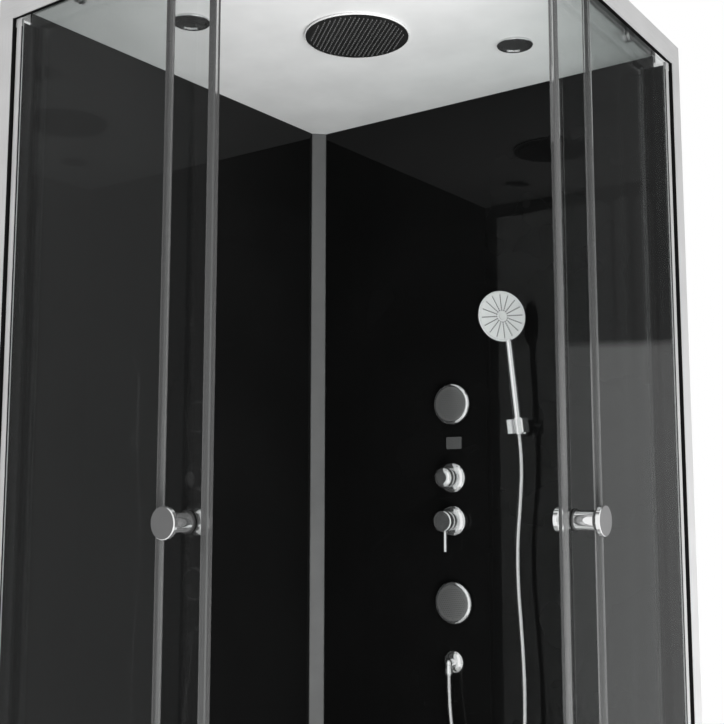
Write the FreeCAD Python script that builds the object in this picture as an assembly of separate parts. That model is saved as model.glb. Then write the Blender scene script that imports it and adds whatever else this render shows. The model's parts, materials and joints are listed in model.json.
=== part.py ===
import FreeCAD
import Part
import math
import os

# Square corner-entry steam shower cabin.  Millimetres, +Z up, origin on the floor under the centre
# of the cabin.  The two black glass back panels stand at -X ("left") and +Y ("right"); the glazed
# fronts face -Y ("left") and +X ("right") and meet at the entry corner (+X, -Y).  Every piece of
# the right half is the left half's piece mirrored in the diagonal plane x = -y.

V = FreeCAD.Vector
X_AXIS = V(1, 0, 0)
Y_AXIS = V(0, 1, 0)
Z_AXIS = V(0, 0, 1)
DIAGONAL = V(1, 1, 0)

# ---------------------------------------------------------------- driving dimensions
SIDE = 900.0               # outside width and depth
CEILING_Z = 2085.0         # underside of the roof panel above the floor
SERVICE_DEPTH = 35.0       # outside of the cabin to the inner face of a back panel
PANEL_GLASS = 5.0          # black back panels
FIXED_GLASS = 5.0          # clear fixed panels
DOOR_GLASS = 6.0           # clear sliding doors

# frame
POST_FACE = 37.0           # visible width of a front post
POST_RETURN = 55.0         # how far a post runs back along the back panel
POST_WALL = 3.0
FACE_STEP = 7.0            # glazing channel set back from the post and rail faces
CHANNEL_WALL = 2.0
CHANNEL_COVER = 15.0       # how far a channel leg covers the fixed glass
SLOT_DEPTH = 10.0          # how far a back panel's edge runs into a profile
LIP = 2.0                  # thickness of the lips either side of a back panel
SEAL_SKIN = 1.5            # thickness of a flat black seal
RAIL_FACE = 42.5           # height of the top rail's face
RAIL_DROP = 24.5           # how far that face hangs below the ceiling
RAIL_WALL = 2.0
RAIL_DEPTH = 52.0          # top and bottom rails, outside face to inner edge
RAIL_CROWN = 4.5           # the inner part of the top rail stands this much above its face
BOTTOM_RAIL_FACE = 28.0
CORNER_LEG = 24.0          # back corner profile's cover along each panel
PANEL_RISE = 12.0          # how far the back panels rise past the ceiling, behind the roof

# tray and base
TRAY_TOP = 150.0
TRAY_SKIN = 6.0
TRAY_SKIRT = 31.0
BASIN_DEPTH = 40.0
RIM_FRONT = 65.0
RIM_BACK = 45.0
BASIN_CORNER_R = 60.0
TUBE = 30.0                # square frame tube
TUBE_WALL = 2.5
FRAME_INSET = 20.0         # outside of the tray to the outside of the frame
FOOT_PAD_R = 25.0
FOOT_PAD_H = 14.0
FOOT_STUD_R = 6.0
APRON_SKIN = 4.0
APRON_LIFT = 15.0          # gap under the aprons
DRAIN_X = -260.0
DRAIN_Y = 260.0
DRAIN_HOLE_R = 31.0
WASTE_R = 45.0
WASTE_PIPE_R = 20.0
WASTE_PIPE_Z = 50.0

# doors
DOOR_SETBACK = 40.0        # outside of the cabin to the middle of the door glass
TAIL_STOP = 8.0            # open door's edge to the post's inner face
DOOR_LIFT = 14.0           # door glass above the tray rim
DOOR_TOP_IN_RAIL = 38.0    # door glass edge above the top rail's lower edge
LEAD_SEAL_LAP = 10.0       # leading seal's cover over the glass
LEAD_SEAL_DEPTH = 10.0
LEAD_NOSE = 3.0            # the leading seal stands this far past the glass
TAIL_OVERLAP = 12.0        # closed door behind the fixed panel's edge
TAIL_INSET = 4.0
SEAL_GAP = 0.4             # soft lips stay this far off what slides past them
MITRE_GAP = 0.2
TAIL_SEAL_LAP = 4.0
TAIL_SEAL_NOSE = 3.0
TAIL_FIN = 2.0
EDGE_SEAL_WIDTH = 7.0
EDGE_SEAL_DEPTH = 11.0
EDGE_SEAL_NOSE = 2.0       # past the edge of the fixed glass
FIXED_EDGE = -30.0         # free edge of the fixed panel's seal, along the front

# door running gear
TRACK_RISE = 18.0          # track shelf above the top rail's lower edge
TRACK_LIP = 3.0
TRACK_OFFSET = 12.0        # outer face of the door glass to the middle of the track
WHEEL_R = 8.0              # running radius
WHEEL_FLANGE_R = 10.5
WHEEL_WIDTH = 7.0
WHEEL_GROOVE = 2.6
RUN_GAP = 0.05
AXLE_R = 4.0
CLAMP_R = 12.0
CLAMP_SKIN = 5.0
CLAMP_LENGTH = 15.0        # axle to the clamp's lower bolt
CLAMP_BOLT_R = 4.0
HANGER_REAR_INSET = 127.0  # from the door glass's rear edge
HANGER_FRONT_INSET = 84.8  # from its leading edge

# knobs
KNOB_INSET = 42.0          # knob axis from the door's leading corner
KNOB_Z = 1201.0
KNOB_OUT = 50.0
KNOB_IN = 24.0
KNOB_R = 24.0
KNOB_IN_R = 20.0
KNOB_RIM = 8.0
KNOB_NECK_R = 15.0
KNOB_STUD_R = 5.0
WASHER_R = 17.5
WASHER_H = 2.0

# ceiling fittings
ROOF_SKIN = 4.0
RAIN_R = 98.0
RAIN_H = 4.5
RAIN_FACE_R = 95.5
RAIN_FACE_H = 1.6
RAIN_STEM_R = 10.5
RAIN_STEM_H = 22.0
RAIN_NUT_R = 16.0
FEED_SIDE = 60.0           # the feed pipe rises beside the valve column
SPOT_R = 34.0
SPOT_CUT_R = 27.0
SPOT_H = 4.0
SPOT_DEPTH = 30.0          # housing above the ceiling
SPOT_LENS_H = 4.0
SPOT_LENS_R = 25.0
SPOT_X = 219.0
SPOT_Y = 208.0

# fittings on the right back panel
COLUMN_X = -51.5           # valves and hose elbow
JET_X = -45.5              # body jets and display
JET_UPPER_Z = 1425.0
DISPLAY_DROP = 82.0        # each fitting's axis below the one above it
DIVERTER_DROP = 73.0
MIXER_DROP = 90.0
JET_LOWER_DROP = 168.0
ELBOW_DROP = 121.0
JET_R = 43.2
JET_FRONT = 15.0           # panel to the front of a jet
JET_BACK = 7.5             # panel to the back of its hub
JET_ROUND = 6.0            # rounding of the jet's front edge
JET_BALL_R = 9.0
JET_BALL_OUT = 4.5         # centre of the ball a jet tilts on, off the panel
JET_BASE_R = 24.0
JET_BASE_H = 2.0
JET_SHANK_R = 12.0
BALL_GAP = 0.3
DISPLAY_W = 36.0
DISPLAY_H = 25.5
DISPLAY_T = 3.0
PLATE_R = 31.0
PLATE_H = 8.0
COLLAR_R = 20.5
COLLAR_H = 25.0            # panel to the front of the collar on each plate
VALVE_CAP_R = 21.7
VALVE_RUN_GAP = 0.5        # collar to cap
VALVE_CAP_FRONT = 5.0      # wall in front of the spindle's bore
VALVE_GROOVE_R = 19.0      # waist between cap and collar
DIVERTER_ROUND = 11.0
MIXER_ROUND = 2.6
MIXER_RIM = 7.5            # thickness of the mixer's disc in front of its waist
DIVERTER_MARK = 1.2        # index groove in its rim
VALVE_NECK_R = 17.0
VALVE_REACH = 43.5         # wall to the front of the mixer's cap
LEVER_R = 4.2
LEVER_LENGTH = 62.5        # mixer's axis to the lever's tip
LEVER_INSET = 12.5         # lever behind the front of the cap
LEVER_TRAVEL = 3.5         # room for the lever to tilt forward in its slot
LEVER_KICK = 1.4           # room for its head to swing back
LEVER_PIVOT = 15.0         # cross pin below the mixer's axis
LEVER_PIN_R = 1.5
LEVER_PIN = 7.0            # half the length of the cross pin's bore
LEVER_GAP = 0.4
SPINDLE_R = 6.5
VALVE_BODY_R = 13.0
INLET_SPACING = 150.0
INLET_Z = 230.0
INLET_R = 10.48            # half-inch pipe thread, outside
PIPE_R = 6.0
SUPPLY_R = 7.5
ELBOW_REACH = 21.0
ELBOW_FLANGE_R = 22.5
ELBOW_BOSS_R = 8.0
NUT_R = 8.2
NUT_H = 14.0
NUT_DROP = 24.0            # elbow's axis to the foot of the hose nut

# hand shower
SOCKET_X = 129.3           # lower end of the handle's cone
SOCKET_OUT = 43.0          # off the back panel
SOCKET_DROP = 729.5        # below the ceiling
HANDLE_LEAN_X = -17.5      # from there to the middle of the head
HANDLE_LEAN_Y = -16.0
HANDLE_RISE = 236.5
HEAD_OFFSET = 6.5          # spray face in front of that axis
HEAD_SIDE = 9.8            # and beside it, away from the wall
HEAD_TURN = 53.0           # the face looks this many degrees from -Y towards +X
HEAD_R = 52.0
HEAD_BODY_H = 16.0
HEAD_FACE_R = 48.5
HEAD_FACE_H = 2.5
HANDLE_R = 8.2
NECK_LENGTH = 34.0         # taper between handle and head
NECK_ROOT = 12.0           # how far it runs on inside the head
NECK_R = 7.4
CONE_LENGTH = 32.0
CONE_TOP_R = 12.0
CONE_FOOT_R = 9.5
CONE_COLLAR = 4.0          # straight collar above the taper
CONE_GAP = 0.2
HOSE_SLOT_GAP = 0.8        # beside the hose in the holder's slot
HOLDER_WIDTH = 37.0
HOLDER_FRONT = 16.0        # the cone's axis to the front of the jaws
HOLDER_BACK = 12.0
HOLDER_ROUND = 3.0
HOLDER_HEIGHT = 28.0
HOLDER_SCREWS = 16.0       # between its two fixing screws
HOLDER_SCREW_R = 2.6
HOLDER_PLATE_W = 18.0      # small wall plate behind the block
HOLDER_PLATE_H = 5.0
HOLDER_ARM_R = 7.0
HOLDER_ARM_SIDE = 11.0     # the arm stands this far to the left of the socket
HOSE_R = 6.0

# steam
GENERATOR = (220.0, 150.0, 62.0)
GENERATOR_Y = 150.0
GENERATOR_GAP = 8.0        # under the tray
STEAM_OUTLET_Z = 300.0
STEAM_OUTLET_X = 150.0
STEAM_PIPE_R = 6.0

# ---------------------------------------------------------------- planes worked out from them
HALF = SIDE / 2
PANEL_IN = HALF - SERVICE_DEPTH
PANEL_OUT = PANEL_IN + PANEL_GLASS
POST_INNER = HALF - POST_FACE
STRIP_PLANE = HALF - FACE_STEP
FIXED_OUT = STRIP_PLANE - CHANNEL_WALL
FIXED_IN = FIXED_OUT - FIXED_GLASS
CHANNEL_IN = FIXED_IN - CHANNEL_WALL
EDGE_SEAL_IN = (FIXED_OUT + FIXED_IN - EDGE_SEAL_DEPTH) / 2
DOOR_PLANE = HALF - DOOR_SETBACK
DOOR_OUT = DOOR_PLANE + DOOR_GLASS / 2
DOOR_IN = DOOR_PLANE - DOOR_GLASS / 2
TRACK_AXIS = DOOR_OUT + TRACK_OFFSET
RAIL_BOTTOM = CEILING_Z - RAIL_DROP
RAIL_TOP = RAIL_BOTTOM + RAIL_FACE
CROWN_TOP = RAIL_TOP + RAIL_CROWN
RAIL_IN = HALF - RAIL_DEPTH
BASIN_FLOOR = TRAY_TOP - BASIN_DEPTH
BASIN_UNDER = BASIN_FLOOR - TRAY_SKIN
FRAME_TOP = BASIN_UNDER
FRAME_BOTTOM = FRAME_TOP - TUBE
FRAME_OUT = HALF - FRAME_INSET
DOOR_BOTTOM = TRAY_TOP + DOOR_LIFT
DOOR_TOP = RAIL_BOTTOM + DOOR_TOP_IN_RAIL
SEAL_OUT = DOOR_PLANE + LEAD_SEAL_DEPTH / 2
SEAL_IN = DOOR_PLANE - LEAD_SEAL_DEPTH / 2
DOOR_TRAVEL = POST_INNER - TAIL_STOP + FIXED_EDGE - TAIL_OVERLAP + TAIL_INSET
LEAD_CORNER = SEAL_IN - DOOR_TRAVEL - MITRE_GAP     # leading corner on the seal's inner side, doors open
DOOR_LEAD = LEAD_CORNER - LEAD_NOSE
DOOR_TAIL = TAIL_STOP - POST_INNER
HANGER_REAR = DOOR_TAIL + HANGER_REAR_INSET         # along the front, doors as drawn
HANGER_FRONT = DOOR_LEAD - HANGER_FRONT_INSET
KNOB_X = LEAD_CORNER - KNOB_INSET
TRACK_Z = RAIL_BOTTOM + TRACK_RISE
TRACK_TOP = TRACK_Z + RAIL_WALL + TRACK_LIP
WHEEL_Z = TRACK_TOP + WHEEL_R + RUN_GAP
PIPE_Y = PANEL_OUT + VALVE_BODY_R
STEAM_PIPE_Y = FRAME_OUT + STEAM_PIPE_R + 1.0       # the pipe rises between frame and skirt
SUPPLY_Y = PANEL_OUT + SUPPLY_R + 1.0               # the supply pipes rise close to the panel
CAP_BASE = PANEL_IN - COLLAR_H - VALVE_RUN_GAP        # back of the diverter's knob and of the mixer's cap
CAP_HEIGHT = CAP_BASE - (PANEL_IN - VALVE_REACH)
DISPLAY_Z = JET_UPPER_Z - DISPLAY_DROP
DIVERTER_Z = DISPLAY_Z - DIVERTER_DROP
MIXER_Z = DIVERTER_Z - MIXER_DROP
JET_LOWER_Z = MIXER_Z - JET_LOWER_DROP
ELBOW_Z = JET_LOWER_Z - ELBOW_DROP
SOCKET = V(SOCKET_X, PANEL_IN - SOCKET_OUT, CEILING_Z - SOCKET_DROP)
HANDLE_TOP = SOCKET + V(HANDLE_LEAN_X, HANDLE_LEAN_Y, HANDLE_RISE)
HANDLE_AXIS = (HANDLE_TOP - SOCKET).normalize()
ROOF_TOP = CROWN_TOP + 3.0


# ---------------------------------------------------------------- helpers
def box(x0, y0, z0, x1, y1, z1):
    """A box between two opposite corners, given in any order."""
    low = V(min(x0, x1), min(y0, y1), min(z0, z1))
    return Part.makeBox(abs(x1 - x0), abs(y1 - y0), abs(z1 - z0), low)


def rod(start, axis, radius, length):
    return Part.makeCylinder(radius, length, start, axis)


def ring(start, axis, outer, inner, length):
    return rod(start, axis, outer, length).cut(rod(start, axis, inner, length))


def prism(points, z0, z1):
    """A polygon in plan, drawn up from z0 to z1."""
    corners = [V(x, y, z0) for x, y in points]
    wire = Part.makePolygon(corners + corners[:1])
    return Part.Face(wire).extrude(V(0, 0, z1 - z0))


def rail(points, x0, x1):
    """A polygon in the (distance from centre, height) plane, drawn along X as a left front rail."""
    corners = [V(x0, -d, z) for d, z in points]
    wire = Part.makePolygon(corners + corners[:1])
    return Part.Face(wire).extrude(V(x1 - x0, 0, 0))


def turned(points, base, axis):
    """A profile of (radius, height) points turned about an axis through base.

    A point of four values is reached along an arc; its last two are a point on that arc.
    """
    corners = [V(p[0], 0, p[1]) for p in points]
    edges = []
    for index, point in enumerate(points):
        start = corners[index - 1]
        end = corners[index]
        if len(point) == 4:
            edges.append(Part.Arc(start, V(point[2], 0, point[3]), end).toShape())
        else:
            edges.append(Part.LineSegment(start, end).toShape())
    solid = Part.Face(Part.Wire(edges)).revolve(V(0, 0, 0), Z_AXIS, 360)
    solid.Placement = FreeCAD.Placement(base, FreeCAD.Rotation(Z_AXIS, axis))
    return solid


def rounded_corner(radius, height, size):
    """Profile points that round the outer corner at (radius, height), from its side to its top."""
    inset = size * (1 - math.sqrt(0.5))
    return [(radius, height - size), (radius - size, height, radius - inset, height - inset)]


def domed(outer, low, inner, high, bulge):
    """Profile points of a dome from (outer, low) in to (inner, high), bulging off the straight line."""
    width = outer - inner
    rise = high - low
    share = bulge / math.hypot(width, rise)
    return [(outer, low), (inner, high, (outer + inner) / 2 + share * rise, (low + high) / 2 + share * width)]


def fuse(*shapes):
    return shapes[0].fuse(list(shapes[1:])).removeSplitter()


def group(*shapes):
    return Part.makeCompound([solid for shape in shapes for solid in shape.Solids])


def mirrored(shape):
    """The right half's piece from the left half's, and the other way round."""
    return shape.mirror(V(0, 0, 0), DIAGONAL)


def mitred(shape):
    """Keep what lies on the left rail's side of the diagonal through the entry corner."""
    reach = 2 * SIDE
    keep = prism([(-reach, -reach), (reach, -reach), (-reach, reach)], -reach, 2 * CEILING_Z)
    return shape.common(keep)


def rounded_plate(width, depth, height, radius):
    """A box about the origin with rounded upright corners, standing on z = 0."""
    plate = box(-width / 2, -depth / 2, 0, width / 2, depth / 2, height)
    uprights = [e for e in plate.Edges if abs(e.BoundBox.ZLength - height) < 1e-6]
    return plate.makeFillet(radius, uprights)


# ---------------------------------------------------------------- tray and base
def shower_tray():
    rim = box(-HALF, -HALF, TRAY_TOP - TRAY_SKIN, HALF, HALF, TRAY_TOP)
    skirt = box(-HALF, -HALF, TRAY_TOP - TRAY_SKIRT, HALF, HALF, TRAY_TOP - TRAY_SKIN)
    inside = HALF - TRAY_SKIN
    skirt = skirt.cut(box(-inside, -inside, 0, inside, inside, TRAY_TOP))
    width = SIDE - RIM_FRONT - RIM_BACK
    shift = (RIM_BACK - RIM_FRONT) / 2
    hollow = rounded_plate(width, width, BASIN_DEPTH, BASIN_CORNER_R)
    hollow.translate(V(shift, -shift, BASIN_FLOOR))
    outer_width = width + 2 * TRAY_SKIN
    outer = rounded_plate(outer_width, outer_width, BASIN_DEPTH, BASIN_CORNER_R + TRAY_SKIN)
    outer.translate(V(shift, -shift, BASIN_UNDER))
    drain = rod(V(DRAIN_X, DRAIN_Y, 0), Z_AXIS, DRAIN_HOLE_R, TRAY_TOP)
    steam = rod(V(STEAM_OUTLET_X, STEAM_PIPE_Y, 0), Z_AXIS, STEAM_PIPE_R + 0.5, 2 * TRAY_TOP)
    return fuse(rim, skirt, outer).cut(hollow).cut([drain, steam])


def tube_x(x0, x1, y, z):
    """Square frame tube along X, centred on y, standing on z."""
    outer = box(x0, y - TUBE / 2, z, x1, y + TUBE / 2, z + TUBE)
    inner = TUBE / 2 - TUBE_WALL
    return outer.cut(box(x0, y - inner, z + TUBE_WALL, x1, y + inner, z + TUBE - TUBE_WALL))


def tube_y(y0, y1, x, z):
    return mirrored(tube_x(-y1, -y0, -x, z))


def foot_places():
    reach = FRAME_OUT - TUBE / 2
    return [(i * reach, j * reach) for i in (-1, 0, 1) for j in (-1, 0, 1)]


def tray_frame():
    reach = FRAME_OUT - TUBE / 2
    inner = FRAME_OUT - TUBE
    sides = [tube_x(-FRAME_OUT, FRAME_OUT, s * reach, FRAME_BOTTOM) for s in (-1, 1)]
    ends = [tube_y(-inner, inner, s * reach, FRAME_BOTTOM) for s in (-1, 1)]
    cross = tube_x(-inner, inner, 0, FRAME_BOTTOM)
    stems = [tube_y(s * TUBE / 2, s * inner, 0, FRAME_BOTTOM) for s in (-1, 1)]
    frame = fuse(sides[0], sides[1], ends[0], ends[1], cross, stems[0], stems[1])
    half = TUBE / 2
    for sx in (-1, 1):
        for sy in (-1, 1):
            x, y = sx * reach, sy * reach
            post = box(x - half, y - half, FRAME_TOP, x + half, y + half, TRAY_TOP - TRAY_SKIN)
            frame = frame.fuse(post)
    apron_in = HALF - APRON_SKIN
    for along in (-reach + TUBE, 0, reach - TUBE):
        tab = box(along - half, -apron_in, FRAME_BOTTOM, along + half, -FRAME_OUT, FRAME_TOP)
        frame = frame.fuse([tab, mirrored(tab)])
    for x, y in foot_places():
        frame = frame.cut(rod(V(x, y, FRAME_BOTTOM - 1), Z_AXIS, FOOT_STUD_R + 0.2, TUBE_WALL + 1))
    return frame.removeSplitter()


def tray_feet():
    nut_h = 8.0
    feet = []
    for x, y in foot_places():
        profile = [(0, 0), (FOOT_PAD_R, 0), (FOOT_PAD_R, 6), (12, FOOT_PAD_H), (0, FOOT_PAD_H)]
        pad = turned(profile, V(x, y, 0), Z_AXIS)
        stud = rod(V(x, y, FOOT_PAD_H), Z_AXIS, FOOT_STUD_R, FRAME_BOTTOM + TUBE_WALL - FOOT_PAD_H)
        nut = rod(V(x, y, FRAME_BOTTOM - nut_h), Z_AXIS, 1.7 * FOOT_STUD_R, nut_h)
        feet.append(fuse(pad, stud, nut))
    return group(*feet)


def tray_aprons():
    top = TRAY_TOP - TRAY_SKIRT
    left = mitred(box(-HALF, -HALF, APRON_LIFT, HALF, -HALF + APRON_SKIN, top))
    return group(left, mirrored(left))


def waste_trap():
    base = V(DRAIN_X, DRAIN_Y, 0)
    flange_h = 2.0
    throat_r = DRAIN_HOLE_R - 0.5
    cup_top = BASIN_UNDER - 2
    flange = turned(
        [(22, BASIN_FLOOR), (WASTE_R, BASIN_FLOOR), (WASTE_R, BASIN_FLOOR + 1),
         (WASTE_R - 3, BASIN_FLOOR + flange_h), (22, BASIN_FLOOR + flange_h)], base, Z_AXIS)
    throat = ring(V(DRAIN_X, DRAIN_Y, cup_top), Z_AXIS, throat_r, 22, BASIN_FLOOR - cup_top)
    nut = ring(V(DRAIN_X, DRAIN_Y, cup_top), Z_AXIS, WASTE_R, throat_r, 2)
    cup_floor = WASTE_PIPE_Z - WASTE_PIPE_R - 3
    cup = rod(V(DRAIN_X, DRAIN_Y, cup_floor), Z_AXIS, WASTE_R - 5, cup_top - cup_floor)
    hollow = rod(V(DRAIN_X, DRAIN_Y, cup_floor + 3), Z_AXIS, WASTE_R - 8, cup_top - cup_floor)
    collar_end = HALF - SERVICE_DEPTH
    pipe_at = V(DRAIN_X, DRAIN_Y + WASTE_R - 8, WASTE_PIPE_Z)
    collar = rod(pipe_at, Y_AXIS, WASTE_PIPE_R + 2.5, collar_end - pipe_at.y)
    spigot = rod(V(DRAIN_X, collar_end, WASTE_PIPE_Z), Y_AXIS, WASTE_PIPE_R, HALF - collar_end)
    bore = rod(V(DRAIN_X, DRAIN_Y, WASTE_PIPE_Z), Y_AXIS, WASTE_PIPE_R - 2, HALF)
    lid = ring(V(DRAIN_X, DRAIN_Y, cup_top - 3), Z_AXIS, WASTE_R - 6, 22, 3)
    body = fuse(flange, throat, nut, cup, collar)
    body = body.cut(hollow).fuse([lid, spigot]).cut(bore)
    return body.cut(rod(V(DRAIN_X, DRAIN_Y, cup_top - 4), Z_AXIS, 22, SIDE)).removeSplitter()


def waste_cap():
    foot = BASIN_FLOOR + 2.0
    rim = WASTE_R - 5
    dome = turned(
        [(0, foot + 3), (rim, foot + 3), (rim + 2, foot + 5), (rim - 2, foot + 7.5), (rim / 2, foot + 9.5),
         (0, foot + 10)],
        V(DRAIN_X, DRAIN_Y, 0), Z_AXIS)
    stem = rod(V(DRAIN_X, DRAIN_Y, foot - 22), Z_AXIS, 20, 25)
    stem = stem.cut(rod(V(DRAIN_X, DRAIN_Y, foot - 22), Z_AXIS, 17, 22))
    reach = rim - 8
    pads = [rod(V(DRAIN_X + reach * math.cos(a), DRAIN_Y + reach * math.sin(a), foot), Z_AXIS, 3, 3.5)
            for a in (0, 2 * math.pi / 3, 4 * math.pi / 3)]
    return fuse(dome, stem, *pads)


# ---------------------------------------------------------------- back panels and frame
def wall_glass_left():
    reach = HALF - POST_RETURN + SLOT_DEPTH
    back = PANEL_IN - SLOT_DEPTH
    glass = box(-PANEL_OUT, -reach, TRAY_TOP, -PANEL_IN, back, CEILING_Z + PANEL_RISE)
    return glass.cut(top_rail_left())


def wall_glass_right():
    glass = mirrored(wall_glass_left())
    holes = [(COLUMN_X, DIVERTER_Z, VALVE_NECK_R), (COLUMN_X, MIXER_Z, VALVE_NECK_R),
             (JET_X, JET_UPPER_Z, JET_SHANK_R), (JET_X, JET_LOWER_Z, JET_SHANK_R),
             (COLUMN_X, ELBOW_Z, ELBOW_BOSS_R)]
    for x, z, radius in holes:
        glass = glass.cut(rod(V(x, PANEL_IN - 1, z), Y_AXIS, radius + 1, PANEL_GLASS + 2))
    steam = V(STEAM_OUTLET_X, PANEL_IN - 1, STEAM_OUTLET_Z)
    glass = glass.cut(rod(steam, Y_AXIS, STEAM_PIPE_R + 1, PANEL_GLASS + 2))
    middle = holder_middle()
    for side in (-1, 1):
        start = V(middle.x - HOLDER_ARM_SIDE, PANEL_IN - 1, middle.z + side * HOLDER_SCREWS / 2)
        glass = glass.cut(rod(start, Y_AXIS, HOLDER_SCREW_R, PANEL_GLASS + 2))
    return glass


def corner_profile():
    """Extruded profile in the back corner: chamfered cover inside, panel slots, tube behind."""
    cover = PANEL_IN - CORNER_LEG
    slot = PANEL_IN - SLOT_DEPTH
    inner = PANEL_IN - LIP
    outer = PANEL_OUT + LIP
    half = [(inner, cover), (PANEL_IN, cover), (PANEL_IN, slot), (PANEL_OUT, slot), (PANEL_OUT, cover),
            (outer, cover), (outer, slot), (HALF, slot)]
    left = [(-a, b) for a, b in half]
    right = [(-b, a) for a, b in reversed(half)]
    body = prism(left + [(-HALF, HALF)] + right, TRAY_TOP, CEILING_Z)
    wall = POST_WALL
    core = box(-HALF + wall, outer, TRAY_TOP, -outer, HALF - wall, CEILING_Z)
    return body.cut(core)


def post_left():
    """Front post: outer tube, step, channel for the fixed glass and slot for the back panel."""
    back = HALF - POST_RETURN
    slot = back + SLOT_DEPTH
    tip = POST_INNER - CHANNEL_COVER
    seat = POST_INNER - LIP
    section = [
        (-HALF, -HALF), (-POST_INNER, -HALF), (-POST_INNER, -STRIP_PLANE), (-tip, -STRIP_PLANE),
        (-tip, -FIXED_OUT), (-seat, -FIXED_OUT), (-seat, -FIXED_IN), (-tip, -FIXED_IN),
        (-tip, -CHANNEL_IN), (-POST_INNER, -CHANNEL_IN), (-POST_INNER, -back), (-PANEL_IN, -back),
        (-PANEL_IN, -slot), (-PANEL_OUT, -slot), (-PANEL_OUT, -back), (-HALF, -back)]
    body = prism(section, TRAY_TOP, RAIL_BOTTOM)
    core_x = PANEL_OUT + LIP + POST_WALL
    core = box(-HALF + POST_WALL, -HALF + POST_WALL, TRAY_TOP, -core_x, -back - POST_WALL, RAIL_BOTTOM)
    return body.cut(core)


def top_rail_left():
    """Fascia, channel for the fixed glass, track for the door wheels, and a crown under the roof."""
    face = HALF - RAIL_WALL
    track_out = TRACK_AXIS + 1
    track_in = TRACK_AXIS - 1
    shelf = TRACK_Z + RAIL_WALL
    crown = CHANNEL_IN
    leg = RAIL_BOTTOM + FACE_STEP
    points = [
        (HALF, RAIL_BOTTOM), (HALF, RAIL_TOP), (crown + RAIL_WALL, RAIL_TOP), (crown + RAIL_WALL, CROWN_TOP),
        (RAIL_IN, CROWN_TOP), (RAIL_IN, CEILING_Z), (RAIL_IN + RAIL_WALL, CEILING_Z),
        (RAIL_IN + RAIL_WALL, CROWN_TOP - RAIL_WALL), (crown, CROWN_TOP - RAIL_WALL),
        (crown, RAIL_TOP - RAIL_WALL), (face, RAIL_TOP - RAIL_WALL), (face, shelf), (track_out, shelf),
        (track_out, TRACK_TOP), (track_in, TRACK_TOP), (track_in, TRACK_Z), (CHANNEL_IN, TRACK_Z),
        (CHANNEL_IN, leg), (FIXED_IN, leg), (FIXED_IN, TRACK_Z), (face, TRACK_Z), (face, RAIL_BOTTOM)]
    return mitred(rail(points, -HALF, HALF))


def bottom_rail_left():
    face = HALF - RAIL_WALL
    top = TRAY_TOP + BOTTOM_RAIL_FACE
    base = TRAY_TOP + RAIL_WALL
    leg = TRAY_TOP + CHANNEL_COVER
    guide = base + 10
    track_out = TRACK_AXIS + 1
    track_in = TRACK_AXIS - 1
    points = [
        (HALF, TRAY_TOP), (HALF, top), (face, top), (face, base), (FIXED_IN, base), (FIXED_IN, leg),
        (CHANNEL_IN, leg), (CHANNEL_IN, base), (track_out, base), (track_out, guide), (track_in, guide),
        (track_in, base), (RAIL_IN + RAIL_WALL, base), (RAIL_IN + RAIL_WALL, base + 8),
        (RAIL_IN, base + 8), (RAIL_IN, TRAY_TOP)]
    return mitred(rail(points, -POST_INNER, HALF)).cut(post_left())


def rear_rails():
    """Box sections behind the tops of the back panels; they carry the roof at the back."""
    outer = PANEL_OUT + LIP
    wall = RAIL_WALL
    end = HALF - SERVICE_DEPTH - SLOT_DEPTH
    start = -HALF + RAIL_DEPTH
    low = CEILING_Z
    tube = box(-HALF, start, low, -outer, HALF, CROWN_TOP)
    tube = tube.cut(box(-HALF + wall, start, low + wall, -outer - wall, HALF - wall, CROWN_TOP - wall))
    hook_z = CEILING_Z + PANEL_RISE
    hook = box(-outer, start, hook_z, -PANEL_IN, end, hook_z + wall)
    left = fuse(tube, hook)
    reach = 2 * SIDE
    left = left.common(prism([(-reach, reach), (-reach, -reach), (reach, -reach)], 0, 2 * CEILING_Z))
    return group(left, mirrored(left)).cut(feed_hole())


def feed_hole():
    """Clearance for the rain shower's feed pipe through the rear rail and the roof flange."""
    return rod(V(COLUMN_X + FEED_SIDE, PIPE_Y, CEILING_Z - 1), Z_AXIS, PIPE_R + 1, ROOF_TOP - CEILING_Z + 2)


def glazing_gaskets():
    """Black seals: beside each post's step, over its inner side, and around the fixed glass."""
    x = POST_INNER
    back = HALF - POST_RETURN
    step = box(-x, -HALF + 1, TRAY_TOP + BOTTOM_RAIL_FACE, -x + SEAL_SKIN, -STRIP_PLANE, RAIL_BOTTOM)
    cover = box(-x, -CHANNEL_IN, TRAY_TOP + RAIL_WALL, -x + SEAL_SKIN, -back, RAIL_BOTTOM + FACE_STEP)
    cover = cover.common(box(-x, -SIDE, TRAY_TOP + CHANNEL_COVER, x, SIDE, RAIL_BOTTOM))
    face = HALF - RAIL_WALL
    tip = POST_INNER - CHANNEL_COVER
    under = [(face, RAIL_BOTTOM + 0.5), (FIXED_OUT, RAIL_BOTTOM + 0.5), (FIXED_OUT, TRACK_Z), (face, TRACK_Z)]
    over = [(face, TRAY_TOP + RAIL_WALL), (FIXED_OUT, TRAY_TOP + RAIL_WALL),
            (FIXED_OUT, TRAY_TOP + CHANNEL_COVER), (face, TRAY_TOP + CHANNEL_COVER)]
    top = mitred(rail(under, -POST_INNER, HALF))
    bottom = mitred(rail(over, -tip, HALF))
    pieces = [step, cover, top, bottom]
    return group(*(pieces + [mirrored(p) for p in pieces]))


def rail_corner_brackets():
    """Angle brackets that hold the two rails together inside the entry corner."""
    arm = 45.0
    skin = 3.0
    brackets = []
    outer = HALF - RAIL_WALL
    low = TRACK_Z + RAIL_WALL
    span = [(outer, -outer), (outer - arm, -outer), (outer - arm, -outer + skin),
            (outer - skin, -outer + skin), (outer - skin, -outer + arm), (outer, -outer + arm)]
    brackets.append(prism(span, low, RAIL_TOP - RAIL_WALL))
    brackets.append(prism(span, TRAY_TOP + CHANNEL_COVER, TRAY_TOP + BOTTOM_RAIL_FACE))
    return group(*brackets)


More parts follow.
